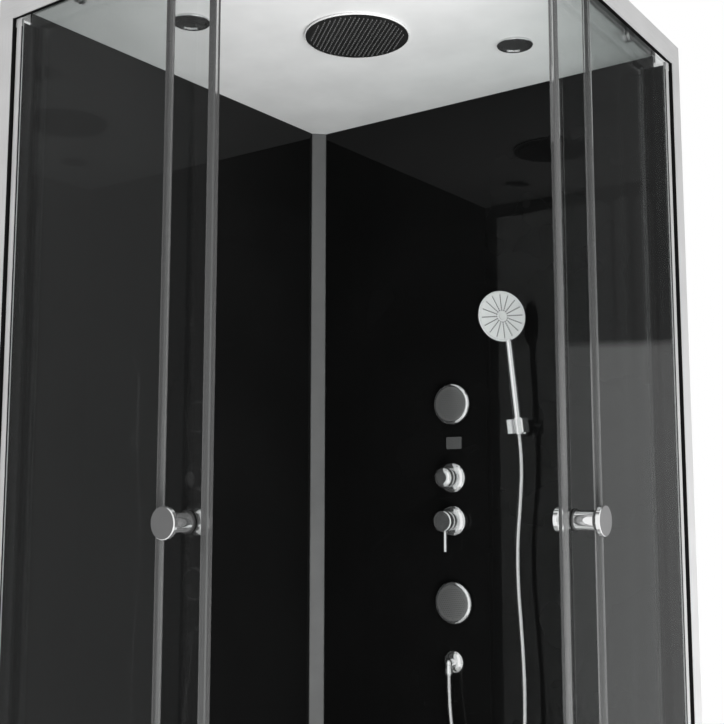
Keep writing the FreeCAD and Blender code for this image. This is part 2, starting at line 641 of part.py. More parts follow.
def roof_panel():
    """Thermoformed roof tray: the ceiling is its sunk floor, its flange lies on the rails."""
    skin = ROOF_SKIN
    fit = 0.5
    front = RAIL_IN - fit
    back = PANEL_IN - fit
    well = box(-back, -front, CEILING_Z, front, back, ROOF_TOP)
    hollow = box(-back + skin, -front + skin, CEILING_Z + skin, front - skin, back - skin, ROOF_TOP)
    flange = box(-HALF + 1, -HALF + 14, CROWN_TOP, HALF - 14, HALF - 1, ROOF_TOP)
    panel = fuse(well, flange).cut(hollow).cut(feed_hole())
    panel = panel.cut(rod(V(0, 0, CEILING_Z - 1), Z_AXIS, RAIN_STEM_R + 0.5, skin + 2))
    for x, y in spot_places():
        panel = panel.cut(rod(V(x, y, CEILING_Z - 1), Z_AXIS, SPOT_CUT_R + 0.5, skin + 2))
    return panel


# ---------------------------------------------------------------- fixed glass, doors
def fixed_glass_left():
    seat = POST_INNER - LIP
    bottom = TRAY_TOP + RAIL_WALL
    return box(-seat, -FIXED_OUT, bottom, FIXED_EDGE - EDGE_SEAL_NOSE, -FIXED_IN, TRACK_Z - 6)


def fixed_edge_seals():
    """U profile on the fixed panel's free edge."""
    out = EDGE_SEAL_IN + EDGE_SEAL_DEPTH
    low = TRAY_TOP + CHANNEL_COVER
    body = box(FIXED_EDGE - EDGE_SEAL_WIDTH, -out, low, FIXED_EDGE, -EDGE_SEAL_IN, RAIL_BOTTOM)
    left = body.cut(fixed_glass_left())
    return group(left, mirrored(left))


def hanger_places():
    return (HANGER_REAR, HANGER_FRONT)


def door_glass_left():
    glass = box(DOOR_TAIL, -DOOR_OUT, DOOR_BOTTOM, DOOR_LEAD, -DOOR_IN, DOOR_TOP)
    hole = CLAMP_BOLT_R + 0.5
    start = -DOOR_OUT - 1
    for x in hanger_places():
        for z in (WHEEL_Z, WHEEL_Z - CLAMP_LENGTH, guide_bolt_z()):
            glass = glass.cut(rod(V(x, start, z), Y_AXIS, hole, DOOR_GLASS + 2))
    return glass.cut(rod(V(KNOB_X, start, KNOB_Z), Y_AXIS, KNOB_STUD_R + 0.5, DOOR_GLASS + 2))


def guide_bolt_z():
    return DOOR_BOTTOM + 28.0


def door_seals_left():
    """Clear profiles on the door's leading edge, mitred for the closed corner, and on its rear edge.

    The rear one has a fin that closes the gap to the fixed panel when the door is shut.
    """
    low = DOOR_BOTTOM - 1
    top = DOOR_TOP
    start = DOOR_LEAD - LEAD_SEAL_LAP
    nose = LEAD_SEAL_DEPTH
    tip = LEAD_CORNER + nose
    lead = prism([(start, -SEAL_OUT), (tip, -SEAL_OUT), (LEAD_CORNER, -SEAL_IN), (start, -SEAL_IN)], low, top)
    tail_in = DOOR_TAIL + TAIL_SEAL_LAP
    tail = box(DOOR_TAIL - TAIL_SEAL_NOSE, -SEAL_OUT, low, tail_in, -SEAL_IN, top)
    fin_low = guide_bolt_z() + CLAMP_R
    fin_top = RAIL_BOTTOM - SEAL_GAP
    fin = box(tail_in - TAIL_FIN, -EDGE_SEAL_IN + SEAL_GAP, fin_low, tail_in, -SEAL_OUT, fin_top)
    tail = fuse(tail, fin)
    glass = door_glass_left()
    return group(lead.cut(glass), tail.cut(glass))


def clamp_plate(x, y0, y1, z_low, z_high):
    """An upright plate with round ends between two bolt heights."""
    plate = box(x - CLAMP_R, y0, z_low, x + CLAMP_R, y1, z_high)
    ends = [rod(V(x, min(y0, y1), z), Y_AXIS, CLAMP_R, abs(y1 - y0)) for z in (z_low, z_high)]
    return fuse(plate, *ends)


def door_hangers_left():
    """Two clamps through the door glass, each with the axle its wheel turns on."""
    solids = []
    low = WHEEL_Z - CLAMP_LENGTH
    axle_end = TRACK_AXIS + WHEEL_WIDTH / 2 + 0.3
    for x in hanger_places():
        outer = clamp_plate(x, -DOOR_OUT - CLAMP_SKIN, -DOOR_OUT, low, WHEEL_Z)
        bolts = [rod(V(x, -DOOR_OUT, z), Y_AXIS, CLAMP_BOLT_R, DOOR_GLASS) for z in (low, WHEEL_Z)]
        axle = rod(V(x, -axle_end, WHEEL_Z), Y_AXIS, AXLE_R, axle_end - DOOR_OUT)
        head = rod(V(x, -axle_end - 1.5, WHEEL_Z), Y_AXIS, 1.6 * AXLE_R, 1.5)
        boss = rod(V(x, -TRACK_AXIS + WHEEL_WIDTH / 2 + 0.3, WHEEL_Z), Y_AXIS, 1.6 * AXLE_R,
                   TRACK_AXIS - WHEEL_WIDTH / 2 - 0.3 - DOOR_OUT)
        solids.append(fuse(outer, axle, head, boss, *bolts))
        solids.append(clamp_plate(x, -DOOR_IN, -DOOR_IN + CLAMP_SKIN, low, WHEEL_Z))
    return group(*solids)


def wheel_left(x):
    """Grooved wheel on the track lip, turned about its axle."""
    half = WHEEL_WIDTH / 2
    groove = WHEEL_GROOVE / 2
    bore = AXLE_R + RUN_GAP
    profile = [(bore, -half), (WHEEL_FLANGE_R, -half), (WHEEL_FLANGE_R, -groove - 0.5), (WHEEL_R, -groove),
               (WHEEL_R, groove), (WHEEL_FLANGE_R, groove + 0.5), (WHEEL_FLANGE_R, half), (bore, half)]
    return turned(profile, V(x, -TRACK_AXIS, WHEEL_Z), Y_AXIS)


def door_guides_left():
    """Clamps at the door's foot; each carries a slotted shoe that runs over the bottom rail's lip."""
    solids = []
    shoe_low = TRAY_TOP + RAIL_WALL + 1.0
    lip_top = TRAY_TOP + RAIL_WALL + 10
    high = guide_bolt_z()
    low = DOOR_BOTTOM + CLAMP_R
    for x in hanger_places():
        outer = clamp_plate(x, -DOOR_OUT - CLAMP_SKIN, -DOOR_OUT, low, high)
        bolt = rod(V(x, -DOOR_OUT, high), Y_AXIS, CLAMP_BOLT_R, DOOR_GLASS)
        shoe = box(x - 14, -TRACK_AXIS - 5, shoe_low, x + 14, -DOOR_OUT, DOOR_BOTTOM + CLAMP_R)
        side = 1 + SEAL_GAP
        slot = box(x - 15, -TRACK_AXIS - side, shoe_low - 1, x + 15, -TRACK_AXIS + side, lip_top + 1)
        solids.append(fuse(outer, bolt, shoe.cut(slot)))
        solids.append(clamp_plate(x, -DOOR_IN, -DOOR_IN + CLAMP_SKIN, low, high))
    return group(*solids)


def knob_left():
    """Outer and inner knob; the outer one's stud passes through the glass into the inner one."""
    outer_base = -DOOR_OUT - WASHER_H
    reach = KNOB_OUT - WASHER_H
    outer = turned(
        [(0, 0), (KNOB_NECK_R, 0), (KNOB_NECK_R, reach - KNOB_RIM - 8), (KNOB_R - 4, reach - KNOB_RIM - 1),
         (KNOB_R, reach - KNOB_RIM + 1)] + rounded_corner(KNOB_R, reach, 1.5) + [(0, reach)],
        V(KNOB_X, outer_base, KNOB_Z), -Y_AXIS)
    stud_end = -DOOR_IN + WASHER_H + 6
    stud = rod(V(KNOB_X, outer_base, KNOB_Z), Y_AXIS, KNOB_STUD_R, stud_end - outer_base)
    inner_base = -DOOR_IN + WASHER_H
    depth = KNOB_IN - WASHER_H
    inner = turned(
        [(0, 0), (KNOB_NECK_R, 0), (KNOB_NECK_R, 7), (KNOB_IN_R - 2, 12), (KNOB_IN_R, 14)]
        + rounded_corner(KNOB_IN_R, depth, 1.5) + [(0, depth)],
        V(KNOB_X, inner_base, KNOB_Z), Y_AXIS)
    return group(fuse(outer, stud), inner.cut(stud))


def knob_washers_left():
    washers = [ring(V(KNOB_X, y, KNOB_Z), Y_AXIS, WASHER_R, KNOB_STUD_R + 0.5, WASHER_H)
               for y in (-DOOR_OUT - WASHER_H, -DOOR_IN)]
    return group(*washers)


# ---------------------------------------------------------------- ceiling fittings
def spot_places():
    return ((SPOT_X, SPOT_Y), (-SPOT_Y, -SPOT_X))


def rain_shower_body():
    foot = CEILING_Z - RAIN_H
    seat = RAIN_FACE_R + 0.3
    body = turned(
        [(0, CEILING_Z), (0, foot + RAIN_FACE_H), (seat, foot + RAIN_FACE_H), (seat, foot),
         (RAIN_R - 1.5, foot), (RAIN_R, foot + 1.5, RAIN_R - 0.44, foot + 0.44), (RAIN_R - 2, CEILING_Z)],
        V(0, 0, 0), Z_AXIS)
    stem = rod(V(0, 0, CEILING_Z), Z_AXIS, RAIN_STEM_R, RAIN_STEM_H)
    return fuse(body, stem)


def rain_shower_face():
    return rod(V(0, 0, CEILING_Z - RAIN_H), Z_AXIS, RAIN_FACE_R, RAIN_FACE_H)


def rain_feed_pipe():
    """Pipe from the diverter up behind the back panel, over the roof flange to the rain shower."""
    x = COLUMN_X + FEED_SIDE
    back = PIPE_Y
    over = ROOF_TOP + PIPE_R + 2
    stem_top = CEILING_Z + RAIN_STEM_H
    nut = ring(V(0, 0, CEILING_Z + ROOF_SKIN), Z_AXIS, RAIN_NUT_R, RAIN_STEM_R, 8)
    cap = rod(V(0, 0, stem_top), Z_AXIS, RAIN_STEM_R + 1.5, over - stem_top + PIPE_R)
    down = rod(V(0, 0, over), Y_AXIS, PIPE_R, back)
    side = rod(V(0, back, over), X_AXIS, PIPE_R, x)
    drop = rod(V(x, back, DIVERTER_Z), Z_AXIS, PIPE_R, over - DIVERTER_Z)
    joint = rod(V(COLUMN_X + VALVE_BODY_R, back, DIVERTER_Z), X_AXIS, PIPE_R, x - COLUMN_X - VALVE_BODY_R)
    corners = ((0, back, over), (x, back, over), (x, back, DIVERTER_Z))
    bends = [Part.makeSphere(PIPE_R, V(*corner)) for corner in corners]
    return group(fuse(cap, down, side, drop, joint, *bends), nut).cut(valve_body())


def spot_rings():
    rings = []
    for x, y in spot_places():
        ring_shape = turned(
            [(SPOT_LENS_R, -1.5), (SPOT_LENS_R + 3, -SPOT_H), (SPOT_R - 1, -SPOT_H), (SPOT_R, -SPOT_H + 1),
             (SPOT_R, 0), (SPOT_CUT_R, 0), (SPOT_CUT_R, SPOT_DEPTH), (SPOT_LENS_R, SPOT_DEPTH)],
            V(x, y, CEILING_Z), Z_AXIS)
        rings.append(ring_shape)
    return group(*rings)


def spot_lenses():
    return group(*[rod(V(x, y, CEILING_Z - 1.5), Z_AXIS, SPOT_LENS_R, SPOT_LENS_H) for x, y in spot_places()])


# ---------------------------------------------------------------- fittings on the back panel
def display():
    body = rounded_plate(DISPLAY_W, DISPLAY_H, DISPLAY_T, 2.0)
    body.rotate(V(0, 0, 0), X_AXIS, 90)
    body.translate(V(JET_X, PANEL_IN, DISPLAY_Z))
    return body


def valve_plates():
    """Domed cover plates of the diverter and of the mixer, each with a round collar."""
    plates = []
    for z in (DIVERTER_Z, MIXER_Z):
        plates.append(turned(
            [(VALVE_NECK_R + 1, 0), (PLATE_R, 0)] + domed(PLATE_R, 1.5, COLLAR_R, PLATE_H, 1.2)
            + rounded_corner(COLLAR_R, COLLAR_H, 1.0) + [(VALVE_NECK_R + 1, COLLAR_H)],
            V(COLUMN_X, PANEL_IN, z), -Y_AXIS))
    return group(*plates)


def diverter_knob():
    """Round knob on the diverter's spindle, with an index groove that shows its setting."""
    waist = CAP_HEIGHT - DIVERTER_ROUND - 1.0
    bore = CAP_HEIGHT - VALVE_CAP_FRONT
    knob = turned(
        [(SPINDLE_R + RUN_GAP, 0), (VALVE_GROOVE_R, 0), (VALVE_GROOVE_R, waist), (VALVE_CAP_R, waist)]
        + rounded_corner(VALVE_CAP_R, CAP_HEIGHT, DIVERTER_ROUND)
        + [(0, CAP_HEIGHT), (0, bore), (SPINDLE_R + RUN_GAP, bore)],
        V(COLUMN_X, CAP_BASE, DIVERTER_Z), -Y_AXIS)
    front = CAP_BASE - CAP_HEIGHT
    half = DIVERTER_MARK / 2
    rim = DIVERTER_Z + VALVE_CAP_R
    groove = box(COLUMN_X - half, front, rim - 2 * DIVERTER_MARK, COLUMN_X + half, CAP_BASE - waist, rim + 1)
    return knob.cut(groove)


def mixer_cap():
    """Round cap that turns for temperature; the lever tilts in the slot on its underside."""
    waist = CAP_HEIGHT - MIXER_RIM
    bore = CAP_HEIGHT - VALVE_CAP_FRONT
    cap = turned(
        [(SPINDLE_R + RUN_GAP, 0), (VALVE_GROOVE_R, 0), (VALVE_GROOVE_R, waist), (VALVE_CAP_R, waist)]
        + rounded_corner(VALVE_CAP_R, CAP_HEIGHT, MIXER_ROUND)
        + [(0, CAP_HEIGHT), (0, bore), (SPINDLE_R + RUN_GAP, bore)],
        V(COLUMN_X, CAP_BASE, MIXER_Z), -Y_AXIS)
    y = lever_y()
    side = LEVER_R + LEVER_GAP
    slot = box(COLUMN_X - side, y - side - LEVER_TRAVEL, MIXER_Z - VALVE_CAP_R - 1,
               COLUMN_X + side, y + side + LEVER_KICK, MIXER_Z - SPINDLE_R - 2)
    pivot_start = V(COLUMN_X - LEVER_PIN, y, MIXER_Z - LEVER_PIVOT)
    pivot = rod(pivot_start, X_AXIS, LEVER_PIN_R + RUN_GAP, 2 * LEVER_PIN)
    return cap.cut([slot, pivot])


def lever_y():
    return PANEL_IN - VALVE_REACH + LEVER_INSET


def mixer_lever():
    """Straight pin that points down, with the cross pin it tilts on."""
    y = lever_y()
    top = LEVER_PIVOT - LEVER_R
    pin = rod(V(COLUMN_X, y, MIXER_Z - LEVER_LENGTH), Z_AXIS, LEVER_R, LEVER_LENGTH - top)
    cross = LEVER_PIN - LEVER_GAP
    pivot = rod(V(COLUMN_X - cross, y, MIXER_Z - LEVER_PIVOT), X_AXIS, LEVER_PIN_R, 2 * cross)
    return fuse(pin, pivot)


def valve_body():
    """Brass body behind the panel: mixer with side inlets, and the diverter above it."""
    half = INLET_SPACING / 2
    bar = rod(V(COLUMN_X - half, PIPE_Y, MIXER_Z), X_AXIS, VALVE_BODY_R, INLET_SPACING)
    column = rod(V(COLUMN_X, PIPE_Y, MIXER_Z), Z_AXIS, VALVE_BODY_R, DIVERTER_Z - MIXER_Z + 18)
    parts = [bar, column]
    neck_end = PANEL_IN - COLLAR_H + 1.0
    spindle_end = CAP_BASE - CAP_HEIGHT + VALVE_CAP_FRONT + 2.0
    for z in (DIVERTER_Z, MIXER_Z):
        parts.append(rod(V(COLUMN_X, neck_end, z), Y_AXIS, VALVE_NECK_R, PIPE_Y - neck_end))
        parts.append(rod(V(COLUMN_X, spindle_end, z), Y_AXIS, SPINDLE_R, neck_end - spindle_end))
    body = fuse(*parts)
    return body.common(box(-SIDE, 0, 0, SIDE, HALF, CEILING_Z))


def water_pipes():
    """Supply pipes with their threaded spigots, and the pipes to the jets and the hose elbow."""
    pipes = []
    half = INLET_SPACING / 2
    collar = 14.0
    for x in (COLUMN_X - half + SUPPLY_R, COLUMN_X + half - SUPPLY_R):
        riser = rod(V(x, SUPPLY_Y, INLET_Z), Z_AXIS, SUPPLY_R, MIXER_Z - INLET_Z)
        turn = SUPPLY_Y - SUPPLY_R
        elbow = rod(V(x, turn, INLET_Z), Y_AXIS, INLET_R + 1.5, HALF - collar - turn)
        spigot = rod(V(x, HALF - collar, INLET_Z), Y_AXIS, INLET_R, collar)
        bore = rod(V(x, HALF - collar - 6, INLET_Z), Y_AXIS, INLET_R - 3, collar + 7)
        pipes.append(fuse(riser, elbow, spigot).cut(bore))
    upper_low = DIVERTER_Z + 18
    pipes.append(rod(V(COLUMN_X, PIPE_Y, upper_low), Z_AXIS, PIPE_R, JET_UPPER_Z - 2.0 - upper_low))
    lower_low = JET_LOWER_Z + 2.0
    pipes.append(rod(V(COLUMN_X, PIPE_Y, lower_low), Z_AXIS, PIPE_R, MIXER_Z - lower_low))
    side = COLUMN_X + FEED_SIDE / 2
    along = rod(V(side, PIPE_Y, ELBOW_Z), Z_AXIS, PIPE_R, MIXER_Z - ELBOW_Z)
    across = rod(V(COLUMN_X, PIPE_Y, ELBOW_Z), X_AXIS, PIPE_R, side - COLUMN_X)
    corner = Part.makeSphere(PIPE_R, V(side, PIPE_Y, ELBOW_Z))
    pipes.append(fuse(along, across, corner).cut(hose_elbow()))
    return group(*pipes).cut([valve_body(), jet_bodies()])


def jet_bodies():
    """Fixed sockets of the two body jets: flange, ball, and shank clamped through the panel."""
    solids = []
    for z in (JET_UPPER_Z, JET_LOWER_Z):
        base = rod(V(JET_X, PANEL_IN, z), -Y_AXIS, JET_BASE_R, JET_BASE_H)
        ball = Part.makeSphere(JET_BALL_R, V(JET_X, PANEL_IN - JET_BALL_OUT, z))
        shank = rod(V(JET_X, PANEL_IN, z), Y_AXIS, JET_SHANK_R, PIPE_Y + JET_SHANK_R - PANEL_IN)
        nut = rod(V(JET_X, PANEL_OUT, z), Y_AXIS, 1.4 * JET_SHANK_R, 8)
        solids.append(fuse(base, ball, shank, nut))
    return group(*solids)


def jet_face(z):
    """Round spray face of one body jet; it tilts on the ball behind it."""
    face = turned(
        [(0, JET_BACK), (JET_SHANK_R, JET_BACK), (JET_R - 2, JET_BACK)]
        + rounded_corner(JET_R, JET_FRONT, JET_ROUND) + [(0, JET_FRONT)],
        V(JET_X, PANEL_IN, z), -Y_AXIS)
    return face.cut(Part.makeSphere(JET_BALL_R + BALL_GAP, V(JET_X, PANEL_IN - JET_BALL_OUT, z)))


def hose_elbow():
    """Wall elbow with a domed flange, and the nut of the hose under it."""
    axis_y = PANEL_IN - ELBOW_REACH
    flange = turned(
        [(0, 0), (ELBOW_FLANGE_R, 0)] + domed(ELBOW_FLANGE_R, 2, ELBOW_BOSS_R, 9, 2.0) + [(0, 9)],
        V(COLUMN_X, PANEL_IN, ELBOW_Z), -Y_AXIS)
    boss = rod(V(COLUMN_X, axis_y, ELBOW_Z), Y_AXIS, ELBOW_BOSS_R, ELBOW_REACH)
    ball = Part.makeSphere(ELBOW_BOSS_R, V(COLUMN_X, axis_y, ELBOW_Z))
    tail = rod(V(COLUMN_X, PANEL_IN, ELBOW_Z), Y_AXIS, ELBOW_BOSS_R, PIPE_Y + 8 - PANEL_IN)
    outlet_low = elbow_outlet_z() + NUT_H
    outlet = rod(V(COLUMN_X, axis_y, outlet_low), Z_AXIS, NUT_R - 1, ELBOW_Z - outlet_low)
    return fuse(flange, boss, ball, tail, outlet)


def elbow_outlet_z():
    return ELBOW_Z - NUT_DROP


def hose_nut():
    low = elbow_outlet_z()
    return turned(
        [(0, low), (NUT_R - 1.5, low), (NUT_R - 0.7, low + 3), (NUT_R, low + 6), (NUT_R, low + NUT_H),
         (0, low + NUT_H)],
        V(COLUMN_X, PANEL_IN - ELBOW_REACH, 0), Z_AXIS)


# ---------------------------------------------------------------- hand shower, holder, hose
def along_handle(distance):
    return SOCKET + HANDLE_AXIS * distance


def head_normal():
    """Direction the spray face looks, square to the handle."""
    turn = math.radians(HEAD_TURN)
    flat = V(math.sin(turn), -math.cos(turn), 0)
    return (flat - HANDLE_AXIS * flat.dot(HANDLE_AXIS)).normalize()


def head_centre():
    normal = head_normal()
    return HANDLE_TOP + normal * HEAD_OFFSET + normal.cross(HANDLE_AXIS) * HEAD_SIDE


def handset_shell():
    """Flat round head with a recess for the spray face, on a handle that tapers into its rim."""
    normal = head_normal()
    centre = head_centre()
    head = turned(
        [(0, 0), (HEAD_R - 2, 0), (HEAD_R, -2, HEAD_R - 0.59, -0.59), (HEAD_R, -4),
         (HEAD_R - 18, -HEAD_BODY_H, HEAD_R - 6, -10), (0, -HEAD_BODY_H)],
        centre, normal)
    recess = rod(centre - normal * HEAD_FACE_H, normal, HEAD_FACE_R + 0.3, HEAD_FACE_H + HANDLE_R)
    rim = (HANDLE_TOP - SOCKET).Length - HEAD_R
    handle = rod(along_handle(CONE_LENGTH), HANDLE_AXIS, HANDLE_R, rim - NECK_LENGTH - CONE_LENGTH)
    neck_foot = along_handle(rim - NECK_LENGTH)
    neck = Part.makeCone(HANDLE_R, NECK_R, NECK_LENGTH + NECK_ROOT, neck_foot, HANDLE_AXIS)
    return fuse(head, handle, neck).cut(recess)


def handset_face():
    normal = head_normal()
    return rod(head_centre() - normal * HEAD_FACE_H, normal, HEAD_FACE_R, HEAD_FACE_H - 0.4)


def hose_cone():
    """Conical nut that joins the hose to the handle and sits in the holder."""
    taper = CONE_LENGTH - CONE_COLLAR
    cone = Part.makeCone(CONE_FOOT_R, CONE_TOP_R, taper, SOCKET, HANDLE_AXIS)
    collar = rod(along_handle(taper), HANDLE_AXIS, CONE_TOP_R, CONE_COLLAR)
    return fuse(cone, collar)


def holder_middle():
    return along_handle(CONE_LENGTH / 2)


def handset_holder():
    """Wall clip: small plate, arm, and a block along the handle with a conical socket between two jaws."""
    slope = (CONE_TOP_R - CONE_FOOT_R) / (CONE_LENGTH - CONE_COLLAR)
    middle = holder_middle()
    depth = HOLDER_FRONT + HOLDER_BACK
    clip = rounded_plate(HOLDER_WIDTH, depth, HOLDER_HEIGHT, HOLDER_ROUND)
    clip.translate(V(0, (HOLDER_BACK - HOLDER_FRONT) / 2, -HOLDER_HEIGHT / 2))
    clip.Placement = FreeCAD.Placement(middle, FreeCAD.Rotation(Z_AXIS, HANDLE_AXIS)).multiply(clip.Placement)
    arm_start = middle + V(-HOLDER_ARM_SIDE, HOLDER_BACK - 3, 0)
    arm = rod(arm_start, Y_AXIS, HOLDER_ARM_R, PANEL_IN - arm_start.y)
    plate = rounded_plate(HOLDER_PLATE_W, HOLDER_HEIGHT, HOLDER_PLATE_H, HOLDER_ROUND)
    plate.rotate(V(0, 0, 0), X_AXIS, 90)
    plate.translate(V(arm_start.x, PANEL_IN, middle.z))
    past = 20.0
    foot_r = CONE_FOOT_R + CONE_GAP - slope * past
    top_r = CONE_FOOT_R + CONE_GAP + slope * (CONE_LENGTH + past)
    bore = Part.makeCone(foot_r, top_r, CONE_LENGTH + 2 * past, along_handle(-past), HANDLE_AXIS)
    slot_half = HOSE_R + HOSE_SLOT_GAP
    slot = box(-slot_half, -2 * depth, -past, slot_half, 0, CONE_LENGTH + past)
    slot.Placement = FreeCAD.Placement(SOCKET, FreeCAD.Rotation(Z_AXIS, HANDLE_AXIS))
    return fuse(clip, arm, plate).cut(bore).cut(slot)


# The hose hangs from the handle's cone, swings in front of the panel and comes back up to the elbow.
HOSE_POINTS = [
    (129.3, 372.0, -729.5), (133.2, 375.6, -782.2), (127.3, 377.5, -862.0), (118.3, 378.5, -945.0),
    (118.5, 378.5, -1032.0), (126.0, 377.0, -1122.0), (131.0, 375.0, -1215.0), (130.5, 372.5, -1310.0),
    (128.6, 370.5, -1410.0), (127.0, 369.0, -1510.0), (125.0, 368.0, -1596.4), (103.6, 367.5, -1633.6),
    (66.4, 368.0, -1655.0), (23.6, 369.5, -1655.0), (-13.6, 371.0, -1633.6), (-35.0, 372.5, -1596.4),
    (-37.0, 376.0, -1515.0), (-36.0, 382.0, -1420.0), (-41.0, 389.0, -1335.0), (-51.5, 394.0, -1268.0),
    (-51.5, 394.0, -1218.0)]


def shower_hose():
    """A tube along straight runs joined by tangent arcs."""
    points = [V(x, y, CEILING_Z + z) for x, y, z in HOSE_POINTS]
    edges = []
    start = points[0]
    for before, corner, after in zip(points, points[1:], points[2:]):
        back = (before - corner)
        ahead = (after - corner)
        shorter = min(back.Length, ahead.Length)
        back.normalize()
        ahead.normalize()
        turn = math.pi - back.getAngle(ahead)
        reach = 0.45 * shorter
        radius = reach / math.tan(turn / 2)
        first = corner + back * reach
        last = corner + ahead * reach
        centre = corner + (back + ahead).normalize() * (reach / math.sin(turn / 2))
        middle = centre + (corner - centre).normalize() * radius
        edges.append(Part.LineSegment(start, first).toShape())
        edges.append(Part.Arc(first, middle, last).toShape())
        print("hose arc radius %.0f mm" % radius)
        start = last
    edges.append(Part.LineSegment(start, points[-1]).toShape())
    wire = Part.Wire(edges)
    length = wire.Length
    circle = Part.Wire(Part.makeCircle(HOSE_R, points[0], points[1] - points[0]))
    tube = wire.makePipeShell([circle], True, False)
    expected = math.pi * HOSE_R ** 2 * length
    print("hose length %.1f mm, volume share %.5f" % (length, tube.Volume / expected))
    return tube.cut([hose_cone(), hose_elbow(), hose_nut()])


# ---------------------------------------------------------------- steam
def generator_base():
    height = GENERATOR[2]
    return V(STEAM_OUTLET_X, GENERATOR_Y, FRAME_TOP - height - GENERATOR_GAP)


def steam_generator():
    """Flat boiler under the tray, held by an arm to the frame on either side."""
    width, depth, height = GENERATOR
    base = generator_base()
    tank = rounded_plate(width, depth, height, 18.0)
    tank.translate(base)
    arm = 12.0
    arms = [box(end, base.y - arm, FRAME_BOTTOM, base.x + side * width / 2, base.y + arm, FRAME_BOTTOM + 4)
            for side, end in ((-1, TUBE / 2), (1, FRAME_OUT - TUBE))]
    return fuse(tank, *arms)


def steam_pipe():
    """Pipe from the boiler, under the frame, up behind the back panel to the outlet."""
    base = generator_base()
    start_y = base.y + GENERATOR[1] / 2
    z = base.z + 18
    out = rod(V(STEAM_OUTLET_X, start_y, z), Y_AXIS, STEAM_PIPE_R, STEAM_PIPE_Y - start_y)
    rise = rod(V(STEAM_OUTLET_X, STEAM_PIPE_Y, z), Z_AXIS, STEAM_PIPE_R, STEAM_OUTLET_Z - z)
    front = rod(V(STEAM_OUTLET_X, PANEL_IN, STEAM_OUTLET_Z), Y_AXIS, STEAM_PIPE_R, STEAM_PIPE_Y - PANEL_IN)
    bends = [Part.makeSphere(STEAM_PIPE_R, V(STEAM_OUTLET_X, STEAM_PIPE_Y, h)) for h in (z, STEAM_OUTLET_Z)]
    return fuse(out, rise, front, *bends)


def steam_outlet():
    """Round outlet with a hood, so that steam leaves downwards."""
    radius = 28.0
    height = 26.0
    hood = turned(
        [(0, 0), (radius, 0), (radius, 4), (radius - 6, 8), (radius - 10, height - 4), (radius - 14, height),
         (0, height)],
        V(STEAM_OUTLET_X, PANEL_IN, STEAM_OUTLET_Z), -Y_AXIS)
    mouth = box(STEAM_OUTLET_X - 11, PANEL_IN - height + 4, STEAM_OUTLET_Z - radius,
                STEAM_OUTLET_X + 11, PANEL_IN - 9, STEAM_OUTLET_Z - 4)
    return hood.cut(mouth)


PARTS = {
    "shower_tray": shower_tray, "tray_frame": tray_frame, "tray_feet": tray_feet, "tray_aprons": tray_aprons,
    "waste_trap": waste_trap, "waste_cap": waste_cap,
    "wall_glass_left": wall_glass_left, "wall_glass_right": wall_glass_right,
    "corner_profile": corner_profile,
    "post_left": post_left, "post_right": lambda: mirrored(post_left()),
    "top_rail_left": top_rail_left, "top_rail_right": lambda: mirrored(top_rail_left()),
    "bottom_rail_left": bottom_rail_left, "bottom_rail_right": lambda: mirrored(bottom_rail_left()),
    "rear_rails": rear_rails, "glazing_gaskets": glazing_gaskets,
    "rail_corner_brackets": rail_corner_brackets,
    "roof_panel": roof_panel,
    "fixed_glass_left": fixed_glass_left, "fixed_glass_right": lambda: mirrored(fixed_glass_left()),
    "fixed_edge_seals": fixed_edge_seals,
    "door_glass_left": door_glass_left, "door_glass_right": lambda: mirrored(door_glass_left()),
    "door_seals_left": door_seals_left, "door_seals_right": lambda: mirrored(door_seals_left()),
    "door_hangers_left": door_hangers_left, "door_hangers_right": lambda: mirrored(door_hangers_left()),
    "wheel_left_rear": lambda: wheel_left(HANGER_REAR), "wheel_left_front": lambda: wheel_left(HANGER_FRONT),
    "wheel_right_rear": lambda: mirrored(wheel_left(HANGER_REAR)),
    "wheel_right_front": lambda: mirrored(wheel_left(HANGER_FRONT)),
    "door_guides_left": door_guides_left, "door_guides_right": lambda: mirrored(door_guides_left()),
    "knob_left": knob_left, "knob_right": lambda: mirrored(knob_left()),
    "knob_washers_left": knob_washers_left, "knob_washers_right": lambda: mirrored(knob_washers_left()),
    "rain_shower_body": rain_shower_body, "rain_shower_face": rain_shower_face,
    "rain_feed_pipe": rain_feed_pipe,
    "spot_rings": spot_rings, "spot_lenses": spot_lenses,
    "display": display, "valve_plates": valve_plates, "diverter_knob": diverter_knob,
    "mixer_cap": mixer_cap, "mixer_lever": mixer_lever, "valve_body": valve_body, "water_pipes": water_pipes,
    "jet_bodies": jet_bodies,
    "jet_upper": lambda: jet_face(JET_UPPER_Z), "jet_lower": lambda: jet_face(JET_LOWER_Z),
    "hose_elbow": lambda: group(hose_elbow(), hose_nut().cut(hose_elbow())),
    "handset_shell": handset_shell, "handset_face": handset_face, "hose_cone": hose_cone,
    "handset_holder": handset_holder, "shower_hose": shower_hose,
    "steam_unit": lambda: group(steam_generator(), steam_pipe(), steam_outlet()),
}


def main():
    os.makedirs("parts", exist_ok=True)
    for name, build in PARTS.items():
        shape = build()
        if not shape.isValid():
            print("not valid:", name)
        shape.exportStep("parts/%s.step" % name)
    print(len(PARTS), "parts written")


main()
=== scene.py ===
import json
import math

import bmesh
import bpy
from mathutils import Matrix, Vector


